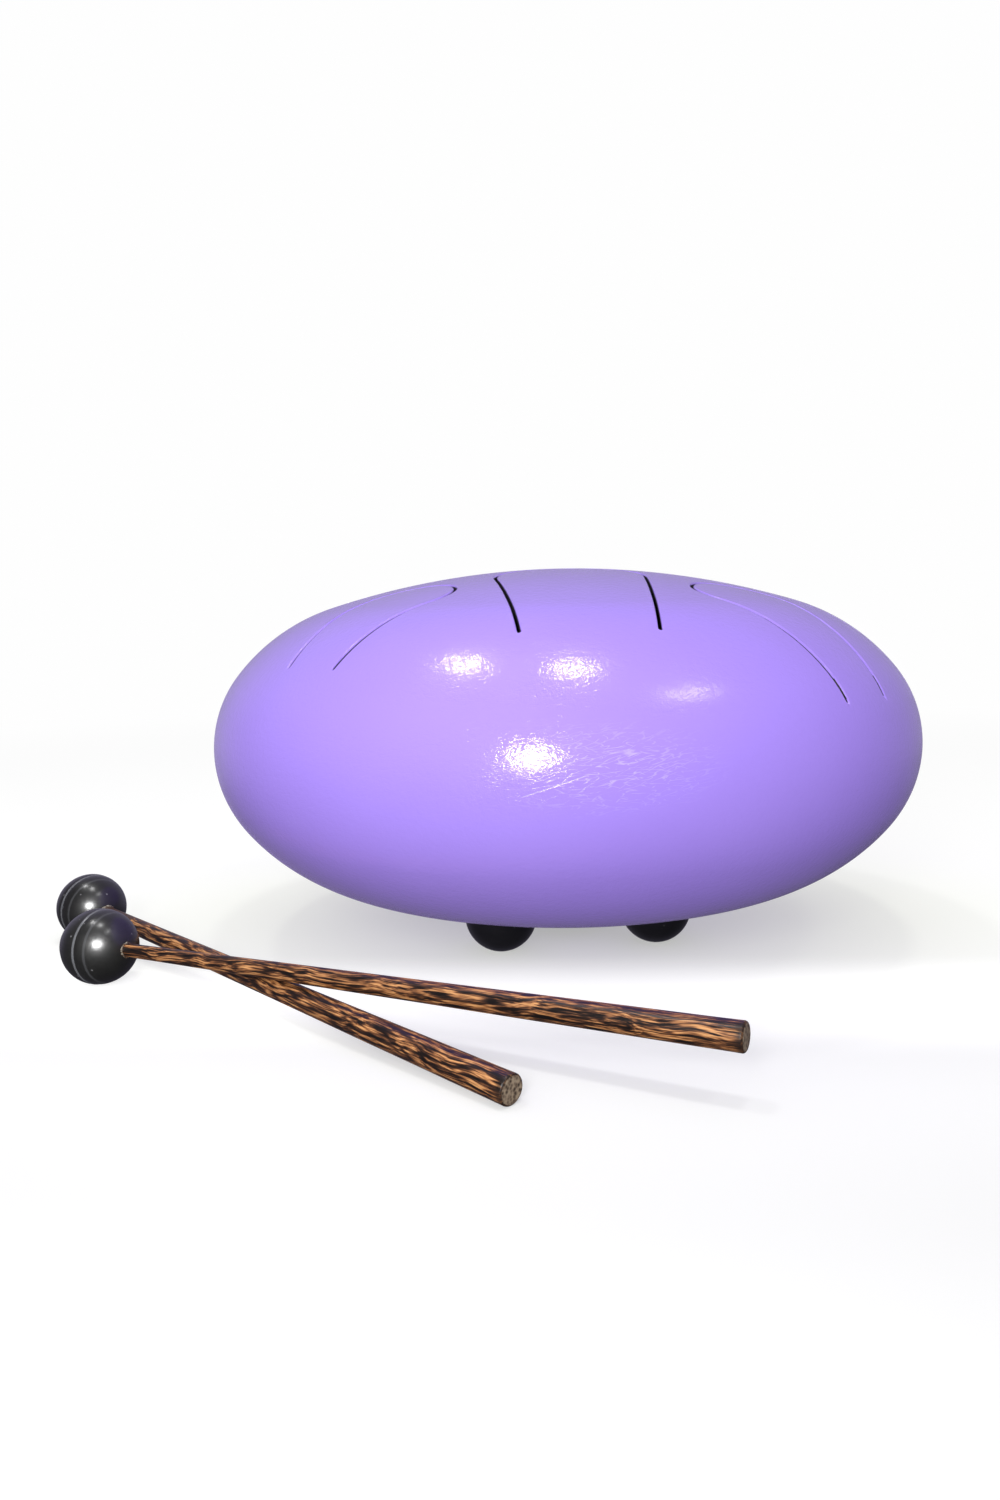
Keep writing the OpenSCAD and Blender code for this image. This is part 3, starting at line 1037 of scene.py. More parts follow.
@dataclass(frozen=True)
class Tongue:
    """Slot round one tongue: its turn, its tip and root, and its widths."""

    turn: float
    tip: float
    length: float
    tip_width: float
    root_width: float

    def path(self, step: float) -> list[tuple[Vector, Vector]]:
        """Middle line of the slot from one root to the other, in plan, tip towards the axis.

        Args:
            step: Longest straight step.

        Returns:
            Each point with the way across the slot, out of the tongue.
        """
        tip_r = self.tip_width / 2
        centre = Vector((self.tip + tip_r, 0.0))
        root = Vector((self.tip + self.length, self.root_width / 2))
        run = root - centre
        side = math.atan2(run.y, run.x) + math.acos(tip_r / run.length)
        across = Vector((math.cos(side), math.sin(side)))
        start = centre + tip_r * across
        arm_steps = math.ceil((root - start).length / step)
        arm = [(root.lerp(start, k / arm_steps), across) for k in range(arm_steps)]
        turn_steps = 40
        bend = []
        for k in range(turn_steps + 1):
            angle = side + (math.tau - 2 * side) * k / turn_steps
            out = Vector((math.cos(angle), math.sin(angle)))
            bend.append((centre + tip_r * out, out))
        other = [(Vector((p.x, -p.y)), Vector((a.x, -a.y))) for p, a in reversed(arm)]
        return arm + bend + other


@dataclass
class SteelBody:
    """Two pressed caps and the weld between them."""

    axis: Vector
    equator: float
    paint: bpy.types.Material
    steel: bpy.types.Material
    cut: bpy.types.Material
    form: CapForm = field(default_factory=CapForm)
    turns: int = 288
    step: float = 2.2 * MM
    inner_coarser: float = 1.6
    slot_width: float = 1.24 * MM
    slot_lip: float = 0.60 * MM
    slot_step: float = 2.4 * MM
    port_radius: float = 25 * MM
    port_lip: float = 0.7 * MM
    weld_half: float = 2.5 * MM
    weld_gap_half: float = 0.4 * MM
    weld_land: float = 0.8 * MM
    bead_radius: float = 1.6 * MM
    bead_ripple: float = 0.14 * MM
    front_length: float = 98 * MM
    front_turn: float = 4.8
    front_tip: float = 19 * MM
    front_widths: Span = (59 * MM, 47.5 * MM)
    ring_turn: float = 3.0
    ring_tip: float = 72 * MM
    ring_widths: Span = (40 * MM, 27 * MM)
    right_inset: float = 6.5 * MM
    left_inset: float = 17 * MM
    halving_steps: int = 24
    note_steps: tuple[int, ...] = (0, 12, 17, 22, 27, 24, 19, 15)

    def tongues(self) -> list[Tongue]:
        """The eight tongues, from the player's side towards +X.

        Returns:
            The tongues.
        """
        apart = 360 / len(self.note_steps)
        # The tongues beside the front one end near the rim, however long they are
        root_at = {1: self.form.radius - self.right_inset, 7: self.form.radius - self.left_inset}
        made = []
        for i, steps in enumerate(self.note_steps):
            length = self.front_length * 2 ** (-steps / self.halving_steps)
            if i == 0:
                made.append(Tongue(self.front_turn, self.front_tip, length, *self.front_widths))
                continue
            tip = root_at[i] - length if i in root_at else self.ring_tip
            made.append(Tongue(self.ring_turn + apart * i, tip, length, *self.ring_widths))
        return made

    def place(self, turn: float = 0.0, upside_down: bool = False) -> Matrix:
        """Where a cap's own middle goes, on the widest line.

        Args:
            turn: Turn about the axis, in degrees.
            upside_down: True for the lower cap.

        Returns:
            The place.
        """
        where = Matrix.Translation((self.axis.x, self.axis.y, self.equator))
        if upside_down:
            where = where @ Matrix.Rotation(math.pi, 4, "X")
        return where @ Matrix.Rotation(math.radians(turn), 4, "Z")

    def rim_outline(self) -> Outline:
        """Edge of a cap at the weld, inside its outer face.

        Returns:
            The corner at the inner face, and the end of the land that the weld fills.
        """
        inner = self.form.radius - self.form.knuckle
        inner += math.sqrt((self.form.knuckle - self.form.wall) ** 2 - self.weld_gap_half**2)
        land = self.form.radius - self.form.wall + self.weld_land
        return [(inner, self.weld_gap_half), (land, self.weld_gap_half)]

    def first_slopes(self) -> tuple[float, float]:
        """Slopes where the two faces of a cap meet the weld.

        Returns:
            The outer and the inner slope, in degrees.
        """
        outer = math.degrees(math.asin(self.weld_half / self.form.knuckle))
        inner = math.degrees(math.asin(self.weld_gap_half / (self.form.knuckle - self.form.wall)))
        return outer, inner

    def slot_cutter(self, number: int, tongue: Tongue) -> bpy.types.Object:
        """Tool for one U-shaped slot, which rounds the slot's upper edges over.

        Args:
            number: Number of the tongue.
            tongue: The tongue that the slot frees.

        Returns:
            The tool, in the cap's own frame.
        """
        half, lip = self.slot_width / 2, self.slot_lip
        start, over, under = 0.03 * MM, 0.6 * MM, 3 * MM
        bends = [k * math.pi / 8 for k in range(5)]
        lips = [(lip, -over)]
        lips += [(lip * (1 - math.sin(bend)), start + lip * (1 - math.cos(bend))) for bend in bends]
        turn = Matrix.Rotation(math.radians(tongue.turn - 90), 2)
        path = tongue.path(self.slot_step)
        rounding = (90, 65, 42, 20)
        ways = [(path[0], k) for k in rounding] + [(p, 0) for p in path]
        ways += [(path[-1], k) for k in reversed(rounding)]
        rings = []
        for i, ((point, across), round_off) in enumerate(ways):
            back = Vector((across.y, -across.x)) if i < len(ways) / 2 else Vector((-across.y, across.x))
            narrow, reach = math.cos(math.radians(round_off)), math.sin(math.radians(round_off))
            sides: list[list[Vector]] = []
            for sign in (1.0, -1.0):
                column = []
                for more, depth in lips + [(0.0, None)]:
                    width = half + more
                    plan = turn @ (point + across * (sign * width * narrow) + back * (width * reach))
                    radius = plan.length
                    slope = math.radians(self.form.slope_at(radius))
                    top = self.form.height_at(radius)
                    if depth is None:
                        column.append(Vector((*plan, top - self.form.wall / math.sin(slope) - under)))
                    else:
                        drop = depth * math.sin(slope)
                        shift = -depth * math.cos(slope) / radius if radius > TINY else 0.0
                        column.append(Vector((*(plan * (1 + shift)), top - drop)))
                sides.append(column)
            rings.append(sides[0] + sides[1][::-1])
        return loft(f"slot_tool_{number}", rings)

    def true_up(self, piece: bpy.types.Object) -> None:
        """Gives the outer face the exact lie of the pressed form, so that gloss runs over it unbroken.

        Args:
            piece: A shell or the weld, in its place.
        """
        near_face, turned_out = 0.02 * MM, 0.8
        mesh = piece.data
        ways = [Vector(corner.vector) for corner in mesh.corner_normals]
        exact: dict[int, Vector] = {}
        for vertex in mesh.vertices:
            arm = Vector((vertex.co.x - self.axis.x, vertex.co.y - self.axis.y))
            height = vertex.co.z - self.equator
            radius = arm.length
            off, out, up = self.form.off_surface(radius, abs(height))
            if abs(off) < near_face:
                arm = arm / radius if radius > TINY else Vector((0.0, 0.0))
                lie = Vector((arm.x * out, arm.y * out, math.copysign(up, height)))
                exact[vertex.index] = lie.normalized()
        for polygon in mesh.polygons:
            for loop in polygon.loop_indices:
                way = exact.get(mesh.loops[loop].vertex_index)
                if way is not None and way.dot(polygon.normal) > turned_out:
                    ways[loop] = way
        mesh.normals_split_custom_set(ways)

    def dress(self, piece: bpy.types.Object, painted_depth: float) -> None:
        """Paints the outside of a piece and leaves its inside bare.

        Args:
            piece: The piece, in its place.
            painted_depth: How deep the paint reaches into openings.
        """
        along_face = 0.7
        mesh = piece.data
        mesh.materials.clear()
        for finish in (self.paint, self.steel, self.cut):
            mesh.materials.append(finish)
        for polygon in mesh.polygons:
            arm = Vector((polygon.center.x - self.axis.x, polygon.center.y - self.axis.y))
            height = polygon.center.z - self.equator
            off, out, up = self.form.off_surface(arm.length, abs(height))
            if -off < painted_depth:
                polygon.material_index = 0
                continue
            arm.normalize()
            facing = Vector((arm.x * out, arm.y * out, math.copysign(up, height))).dot(polygon.normal)
            polygon.material_index = 1 if abs(facing) > along_face else 2

    def top_shell(self) -> bpy.types.Object:
        """Upper cap with its eight tongues.

        Returns:
            The shell.
        """
        outer, inner = self.first_slopes()
        inside = self.form.outline(self.form.wall, inner, 90.0, self.step * self.inner_coarser)
        outside = self.form.outline(0.0, outer, 90.0, self.step)
        shell = lathe("top_shell", inside[::-1] + self.rim_outline()[1:] + outside, self.turns)
        for number, tongue in enumerate(self.tongues()):
            combine(shell, self.slot_cutter(number, tongue), "DIFFERENCE")
        settle(shell, self.place())
        smooth(shell, Shade.CRISP)
        self.true_up(shell)
        self.dress(shell, painted_depth=0.55 * MM)
        return shell

    def bottom_shell(self, stud_holes: Sequence[tuple[Matrix, float]]) -> bpy.types.Object:
        """Lower cap with its sound port and stud holes.

        Args:
            stud_holes: Place and radius of each stud's hole, in the drum's frame.

        Returns:
            The shell.
        """
        outer, inner = self.first_slopes()
        lip, port = self.port_lip, self.port_radius
        outer_end = self.form.slope_at(port + lip)
        inner_end = self.form.slope_at(port + lip / 2, self.form.wall)
        inside = self.form.outline(self.form.wall, inner, inner_end, self.step * self.inner_coarser)
        outside = self.form.outline(0.0, outer, outer_end, self.step)
        top = outside[-1][1]
        low = inside[-1][1]
        edge = arc((port + lip, top - lip), lip, 90.0, 180.0, 6)[1:]
        inner_edge = arc((port + lip / 2, low + lip / 2), lip / 2, 180.0, 270.0, 4)[:-1]
        outline = inside[::-1] + self.rim_outline()[1:] + outside + edge + inner_edge
        shell = lathe("bottom_shell", outline, self.turns)
        settle(shell, self.place(upside_down=True))
        for where, radius in stud_holes:
            bpy.ops.object.select_all(action="DESELECT")
            bpy.ops.mesh.primitive_cylinder_add(vertices=48, radius=radius, depth=20 * MM)
            drill = named("stud_hole_tool")
            settle(drill, where)
            combine(shell, drill, "DIFFERENCE")
        smooth(shell, Shade.CRISP)
        self.true_up(shell)
        self.dress(shell, painted_depth=1.6 * MM)
        return shell

    def rim_band(self) -> bpy.types.Object:
        """Weld between the caps: ground flush outside, with a rippled root bead inside.

        Returns:
            The weld.
        """
        wall_in = self.form.radius - self.form.wall
        half_angle = math.degrees(math.asin(self.weld_half / self.form.knuckle))
        centre = (self.form.radius - self.form.knuckle, 0.0)
        outside = arc(centre, self.form.knuckle, -half_angle, half_angle, 4)
        land = wall_in + self.weld_land
        gap, bead = self.weld_gap_half, self.bead_radius
        inner = self.rim_outline()[0][0]
        inside = [(land, gap), (inner, gap)] + arc((wall_in, 0.0), bead, 91.0, 269.0, 12)
        inside += [(inner, -gap), (land, -gap)]
        band = lathe("rim_band", outside + inside, self.turns * 4)
        flush, waves_round, waves_up = 0.2 * MM, 190, 900
        for vertex in band.data.vertices:
            radius = math.hypot(vertex.co.x, vertex.co.y)
            rise = (wall_in - flush - radius) / bead
            if rise > 0:
                turn = math.atan2(vertex.co.y, vertex.co.x)
                wave = abs(math.sin(turn * waves_round + vertex.co.z * waves_up)) * min(1.0, rise)
                vertex.co *= 1 + self.bead_ripple * wave / radius
        settle(band, self.place())
        smooth(band, Shade.CRISP)
        self.true_up(band)
        self.dress(band, painted_depth=0.4 * MM)
        return band

    def build(self, stud_holes: Sequence[tuple[Matrix, float]]) -> None:
        """Models the whole body and hands its pieces in.

        Args:
            stud_holes: Place and radius of each stud's hole.
        """
        pieces = {
            "upper_cap": self.top_shell(),
            "lower_cap": self.bottom_shell(stud_holes),
            "rim_weld": self.rim_band(),
        }
        for node, piece in pieces.items():
            hand_in(piece, node, "drum")


@dataclass
class RubberFoot:
    """Rubber half ball with the stud, washer and nut that hold it to the lower cap."""

    corner: Corner
    place: Matrix
    crown_radius: float
    rubber: bpy.types.Material
    zinc: bpy.types.Material
    radius: float = 15 * MM
    edge: float = 0.35 * MM
    sole_edge: float = 0.3 * MM
    sole_drop: float = 0.12 * MM
    head_radius: float = 7 * MM
    head_height: float = 1.5 * MM
    cover: float = 5 * MM
    stud_radius: float = 2 * MM
    stud_top: float = 8.03 * MM
    pitch: float = 0.7 * MM
    thread_depth: float = 0.61
    thread_fill: float = 0.9
    stud_bevel: float = 0.35 * MM
    washer_play: float = 0.125 * MM
    washer_from: float = 2.531 * MM
    washer_height: float = 0.8 * MM
    washer_radius: float = 4.5 * MM
    nut_height: float = 3.2 * MM
    nut_flats: float = 7 * MM
    nut_slope: float = 30.0
    nut_seat: float = 0.97
    nut_corner: float = 1.02

    def half_ball(self) -> bpy.types.Object:
        """The rubber, seated on the crown and cut flat where it stands.

        Returns:
            The rubber half ball.
        """
        reach = self.radius - self.edge
        crown = self.crown_radius
        radii = [reach * k / 12 for k in range(13)]
        seat = [(r, crown - math.sqrt(crown**2 - r * r)) for r in radii]
        shoulder = arc((reach - 0.02 * MM, seat[-1][1] - self.edge), self.edge, 80.0, 10.0, 5)
        below = shoulder[-1][1] - 0.05 * MM
        ball = [p for p in arc((0.0, 0.0), self.radius, -1.0, -90.0, 44) if p[1] < below]
        ball[-1] = (0.0, -self.radius)
        foot = lathe(f"rubber_foot_{self.corner.label}", seat + shoulder + ball, 96)
        settle(foot, self.place)
        with editing(foot):
            bpy.ops.mesh.select_all(action="SELECT")
            cut = {"plane_co": (0, 0, self.sole_drop), "plane_no": (0, 0, 1), "threshold": TINY}
            bpy.ops.mesh.bisect(clear_inner=True, **cut)
            bpy.ops.mesh.select_all(action="SELECT")
            bpy.ops.mesh.remove_doubles(threshold=self.sole_drop / 6)
            bpy.ops.mesh.select_all(action="DESELECT")
            bpy.ops.mesh.select_non_manifold()
            bpy.ops.mesh.edge_face_add()
            bpy.ops.mesh.inset(thickness=self.sole_edge, depth=self.sole_drop)
        smooth(foot, Shade.ROUND)
        foot.data.materials.append(self.rubber)
        return foot

    def stud(self) -> bpy.types.Object:
        """The stud: a flat head in the rubber and a threaded shank through the cap.

        Returns:
            The stud.
        """
        head_low = -self.cover - self.head_height
        soft = 0.25 * MM
        head = [(0.0, head_low)] + arc((self.head_radius - soft, head_low + soft), soft, -90.0, 0.0, 4)
        head += arc((self.head_radius - soft, -self.cover - soft), soft, 0.0, 90.0, 4)
        run = self.stud_top + self.cover
        rings = math.ceil(run / (self.pitch / 8))
        shank = [(self.stud_radius, -self.cover + run * k / rings) for k in range(rings + 1)]
        piece = lathe(f"threaded_stud_{self.corner.label}", head + shank + [(0.0, self.stud_top)], 32)
        for vertex in piece.data.vertices:
            radius = math.hypot(vertex.co.x, vertex.co.y)
            if vertex.co.z < -self.cover + self.pitch or radius < self.stud_radius / 2:
                continue
            turn = math.atan2(vertex.co.y, vertex.co.x) / math.tau
            phase = (vertex.co.z / self.pitch - turn) % 1.0
            groove = self.thread_depth * self.pitch * (1 - abs(2 * phase - 1)) * self.thread_fill
            bevel = max(0.0, self.stud_bevel - (self.stud_top - vertex.co.z))
            factor = (self.stud_radius - max(groove, bevel)) / radius
            vertex.co.x *= factor
            vertex.co.y *= factor
        settle(piece, self.place)
        smooth(piece, Shade.CRISP)
        piece.data.materials.append(self.zinc)
        return piece

    def washer(self) -> bpy.types.Object:
        """The flat washer, stamped with one soft edge.

        Returns:
            The washer.
        """
        low, high = self.washer_from, self.washer_from + self.washer_height
        bore, soft = self.stud_radius + self.washer_play, 0.18 * MM
        outline = [(bore, low), (self.washer_radius, low)]
        outline += arc((self.washer_radius - soft, high - soft), soft, 0.0, 90.0, 4)
        outline += [(bore + soft / 2, high), (bore, high - soft / 2)]
        piece = lathe(f"flat_washer_{self.corner.label}", outline, 64)
        settle(piece, self.place)
        smooth(piece, Shade.CRISP)
        piece.data.materials.append(self.zinc)
        return piece

    def nut(self) -> bpy.types.Object:
        """The hexagon nut, its corners turned off at 30 degrees.

        Returns:
            The nut.
        """
        low = self.washer_from + self.washer_height
        high = low + self.nut_height
        corner = self.nut_flats / math.sqrt(3)
        flat = self.nut_flats / 2 * self.nut_seat
        wide = corner * self.nut_corner
        drop = (wide - flat) * math.tan(math.radians(self.nut_slope))
        bore, mouth = self.stud_radius, 0.3 * MM
        outline = [
            (bore, low + mouth), (bore + mouth, low), (flat, low), (wide, low + drop),
            (wide, high - drop), (flat, high), (bore + mouth, high), (bore, high - mouth),
        ]
        piece = lathe(f"hex_nut_{self.corner.label}", outline, 72)
        bpy.ops.object.select_all(action="DESELECT")
        bpy.ops.mesh.primitive_cylinder_add(
            vertices=6, radius=corner, depth=self.nut_height * 2, location=(0, 0, (low + high) / 2),
            rotation=(0, 0, math.radians(30)),
        )
        combine(piece, named("hexagon_tool"), "INTERSECT")
        settle(piece, self.place)
        smooth(piece, Shade.CRISP)
        piece.data.materials.append(self.zinc)
        return piece

    def build(self) -> None:
        """Models the foot and its hardware, and hands them in."""
        pieces = {
            "foot": (self.half_ball(), "foot_rubber"),
            "stud": (self.stud(), "plated_steel"),
            "washer": (self.washer(), "plated_steel"),
            "nut": (self.nut(), "plated_steel"),
        }
        for part, (piece, slot) in pieces.items():
            hand_in(piece, f"{part}_{self.corner.label}", "drum")


# Mallets


@dataclass
class Mallet:
    """Rubber ball on a tapered palm-wood stick, glued in a blind bore."""

    name: str
    ball_at: Vector
    heading: float
    dip: float
    tip_radius: float
    butt_radius: float
    wood: bpy.types.Material
    rubber: bpy.types.Material
    glue: bpy.types.Material
    ball_radius: float = 14.6 * MM
    length: float = 254 * MM
    bore_depth: float = 20 * MM
    glue_radius: float = 0.9 * MM
    butt_edge: float = 0.9 * MM
    ridge_at: float = -11 * MM
    ridge_radius: float = 0.35 * MM
    ridge_share: float = 0.8
    seam_at: float = 1.2 * MM
    seam_width: float = 1.3 * MM
    seam_depth: float = 0.22 * MM
    seam_middle: float = 8.0
    # Place of a faint painted highlight line on the ball; the shape has no ridge there
    faint_ridge_at: float = 5.8 * MM
    mouth: float = 0.5 * MM

    @property
    def place(self) -> Matrix:
        """Ball's centre, with +Z along the stick."""
        turn = Matrix.Rotation(math.radians(self.heading), 4, "Z")
        return Matrix.Translation(self.ball_at) @ turn @ Matrix.Rotation(math.radians(90 + self.dip), 4, "Y")

    @property
    def neck(self) -> float:
        """Length from the ball's centre to where the stick starts to swell."""
        return self.ball_radius + self.glue_radius

    def ball(self) -> bpy.types.Object:
        """The ball, with the ridge of its mould and a rounded mouth round the stick.

        Returns:
            The ball.
        """
        r = self.ball_radius
        last = math.degrees(math.acos((self.tip_radius + self.mouth) / r))
        ridge_angle = math.degrees(math.asin(self.ridge_at / r))
        seam_angle = math.degrees(math.asin(self.seam_at / r))
        outline: Outline = []
        steps = 170
        for point_angle in [-90 + k * (last + 90) / steps for k in range(steps + 1)]:
            near = math.radians(point_angle - ridge_angle) * r / self.ridge_radius
            proud = self.ridge_radius * self.ridge_share * math.sqrt(max(0.0, 1 - near * near))
            off_seam = (math.radians(point_angle - seam_angle) * r / self.seam_width) ** 2
            proud -= self.seam_depth * math.exp(-off_seam) * (1 - math.exp(-self.seam_middle * off_seam))
            a = math.radians(point_angle)
            outline.append(((r + proud) * math.cos(a), (r + proud) * math.sin(a)))
        outline[0] = (0.0, -r)
        rim = outline[-1]
        outline += arc((rim[0], rim[1] - self.mouth), self.mouth, 90.0, 180.0, 5)[1:]
        outline += [(self.tip_radius, r - self.bore_depth), (0.0, r - self.bore_depth)]
        piece = lathe(f"{self.name}_rubber_ball", outline, 120)
        keep_place(piece, "moulded")
        settle(piece, self.place)
        smooth(piece, Shade.ROUND)
        piece.data.materials.append(self.rubber)
        return piece

    def stick(self) -> bpy.types.Object:
        """The stick, turned from one piece and a little uneven under the hand.

        Returns:
            The stick, which carries its own lengthwise coordinates as the attribute grain.
        """
        start, edge = self.ball_radius - self.bore_depth, self.length - self.butt_edge
        steps = 130
        outline: Outline = [(0.0, start), (self.tip_radius, start), (self.tip_radius, self.neck)]
        for k in range(1, steps + 1):
            share = k / steps
            radius = self.tip_radius + (self.butt_radius - self.tip_radius) * share
            outline.append((radius, self.neck + (edge - self.neck) * share))
        outline += arc((self.butt_radius - self.butt_edge, edge), self.butt_edge, 0.0, 90.0, 7)[1:]
        outline += [(outline[-1][0] * 0.6, self.length), (0.0, self.length)]
        piece = lathe(f"{self.name}_palm_stick", outline, 56)
        neck_run, butt_run, worn, lumps = 12 * MM, 6 * MM, 0.03 * MM, 0.05 * MM
        across, along = 160, 26
        for vertex in piece.data.vertices:
            spot = vertex.co
            free = min(1.0, max(0.0, (spot.z - self.neck) / neck_run))
            free *= min(1.0, max(0.0, (edge - spot.z) / butt_run))
            wave = noise.noise(Vector((spot.x * across, spot.y * across, spot.z * along)))
            uneven = wave * lumps * free
            radius = math.hypot(spot.x, spot.y)
            if radius > self.tip_radius / 2:
                spot.x += spot.x / radius * (uneven - worn * free)
                spot.y += spot.y / radius * (uneven - worn * free)
        keep_place(piece, "grain")
        settle(piece, self.place)
        smooth(piece, Shade.ROUND)
        piece.data.materials.append(self.wood)
        return piece

    def glue_bead(self) -> bpy.types.Object:
        """The glue squeezed out round the stick, fuller on some sides than on others.

        Returns:
            The bead.
        """
        corner = (self.tip_radius, math.sqrt(self.ball_radius**2 - self.tip_radius**2))
        seat = math.degrees(math.atan2(corner[1], corner[0])) - 90.0
        outline = [corner] + arc(corner, self.glue_radius * 0.97, seat, 90.0, 14)
        piece = lathe(f"{self.name}_glue_bead", outline, 72)
        broad, fine = (2.2, 0.5), (6.5, 0.3)
        least, usual = 0.25, 0.62
        for vertex in piece.data.vertices:
            radius = math.hypot(vertex.co.x, vertex.co.y)
            out = Vector((vertex.co.x, vertex.co.y)) / radius
            lumps = 0.0
            for often, high in (broad, fine):
                lumps += noise.noise(Vector((out.x * often, out.y * often, self.dip))) * high
            full = min(1.0, max(least, usual + lumps))
            vertex.co.x = out.x * (corner[0] + (radius - corner[0]) * full)
            vertex.co.y = out.y * (corner[0] + (radius - corner[0]) * full)
            vertex.co.z = corner[1] + (vertex.co.z - corner[1]) * full
        settle(piece, self.place)
        smooth(piece, Shade.ROUND)
        piece.data.materials.append(self.glue)
        return piece

    def build(self) -> None:
        """Models the whole mallet and hands its pieces in."""
        pieces = {
            "ball": (self.ball(), "ball_rubber"),
            "stick": (self.stick(), "palm_wood"),
            "glue": (self.glue_bead(), "dried_glue"),
        }
        for part, (piece, slot) in pieces.items():
            hand_in(piece, f"{self.name}_{part}", f"mallet_{self.name}")


# Studio


@dataclass(frozen=True)
class Lamp:
    """Lamp with a flat glowing face that looks at a spot on the drum."""

    name: str
    spot: Vector
    azimuth: float
    elevation: float
    distance: float
    width: float
    height: float
    power: float
    mirrored: bool = True
    only: tuple[str, ...] = ()

    def build(self) -> None:
        """Hangs the lamp; where it names pieces, it lights them alone."""
        a, e = math.radians(self.azimuth), math.radians(self.elevation)
        way = Vector((math.sin(a) * math.cos(e), -math.cos(a) * math.cos(e), math.sin(e)))
        bpy.ops.object.select_all(action="DESELECT")
        bpy.ops.object.light_add(type="AREA", location=self.spot + way * self.distance)
        lamp = bpy.context.object
        lamp.name = self.name
        lamp.rotation_euler = way.to_track_quat("Z", "Y").to_euler()
        lamp.data.shape = "ELLIPSE"
        lamp.data.size = self.width
        lamp.data.size_y = self.height
        lamp.data.energy = self.power
        lamp.visible_camera = False
        lamp.visible_glossy = self.mirrored
        if self.only:
            lit = bpy.data.collections.new(self.name + "_pieces")
            for name in self.only:
                lit.objects.link(bpy.data.objects[name])
            lamp.light_linking.receiver_collection = lit


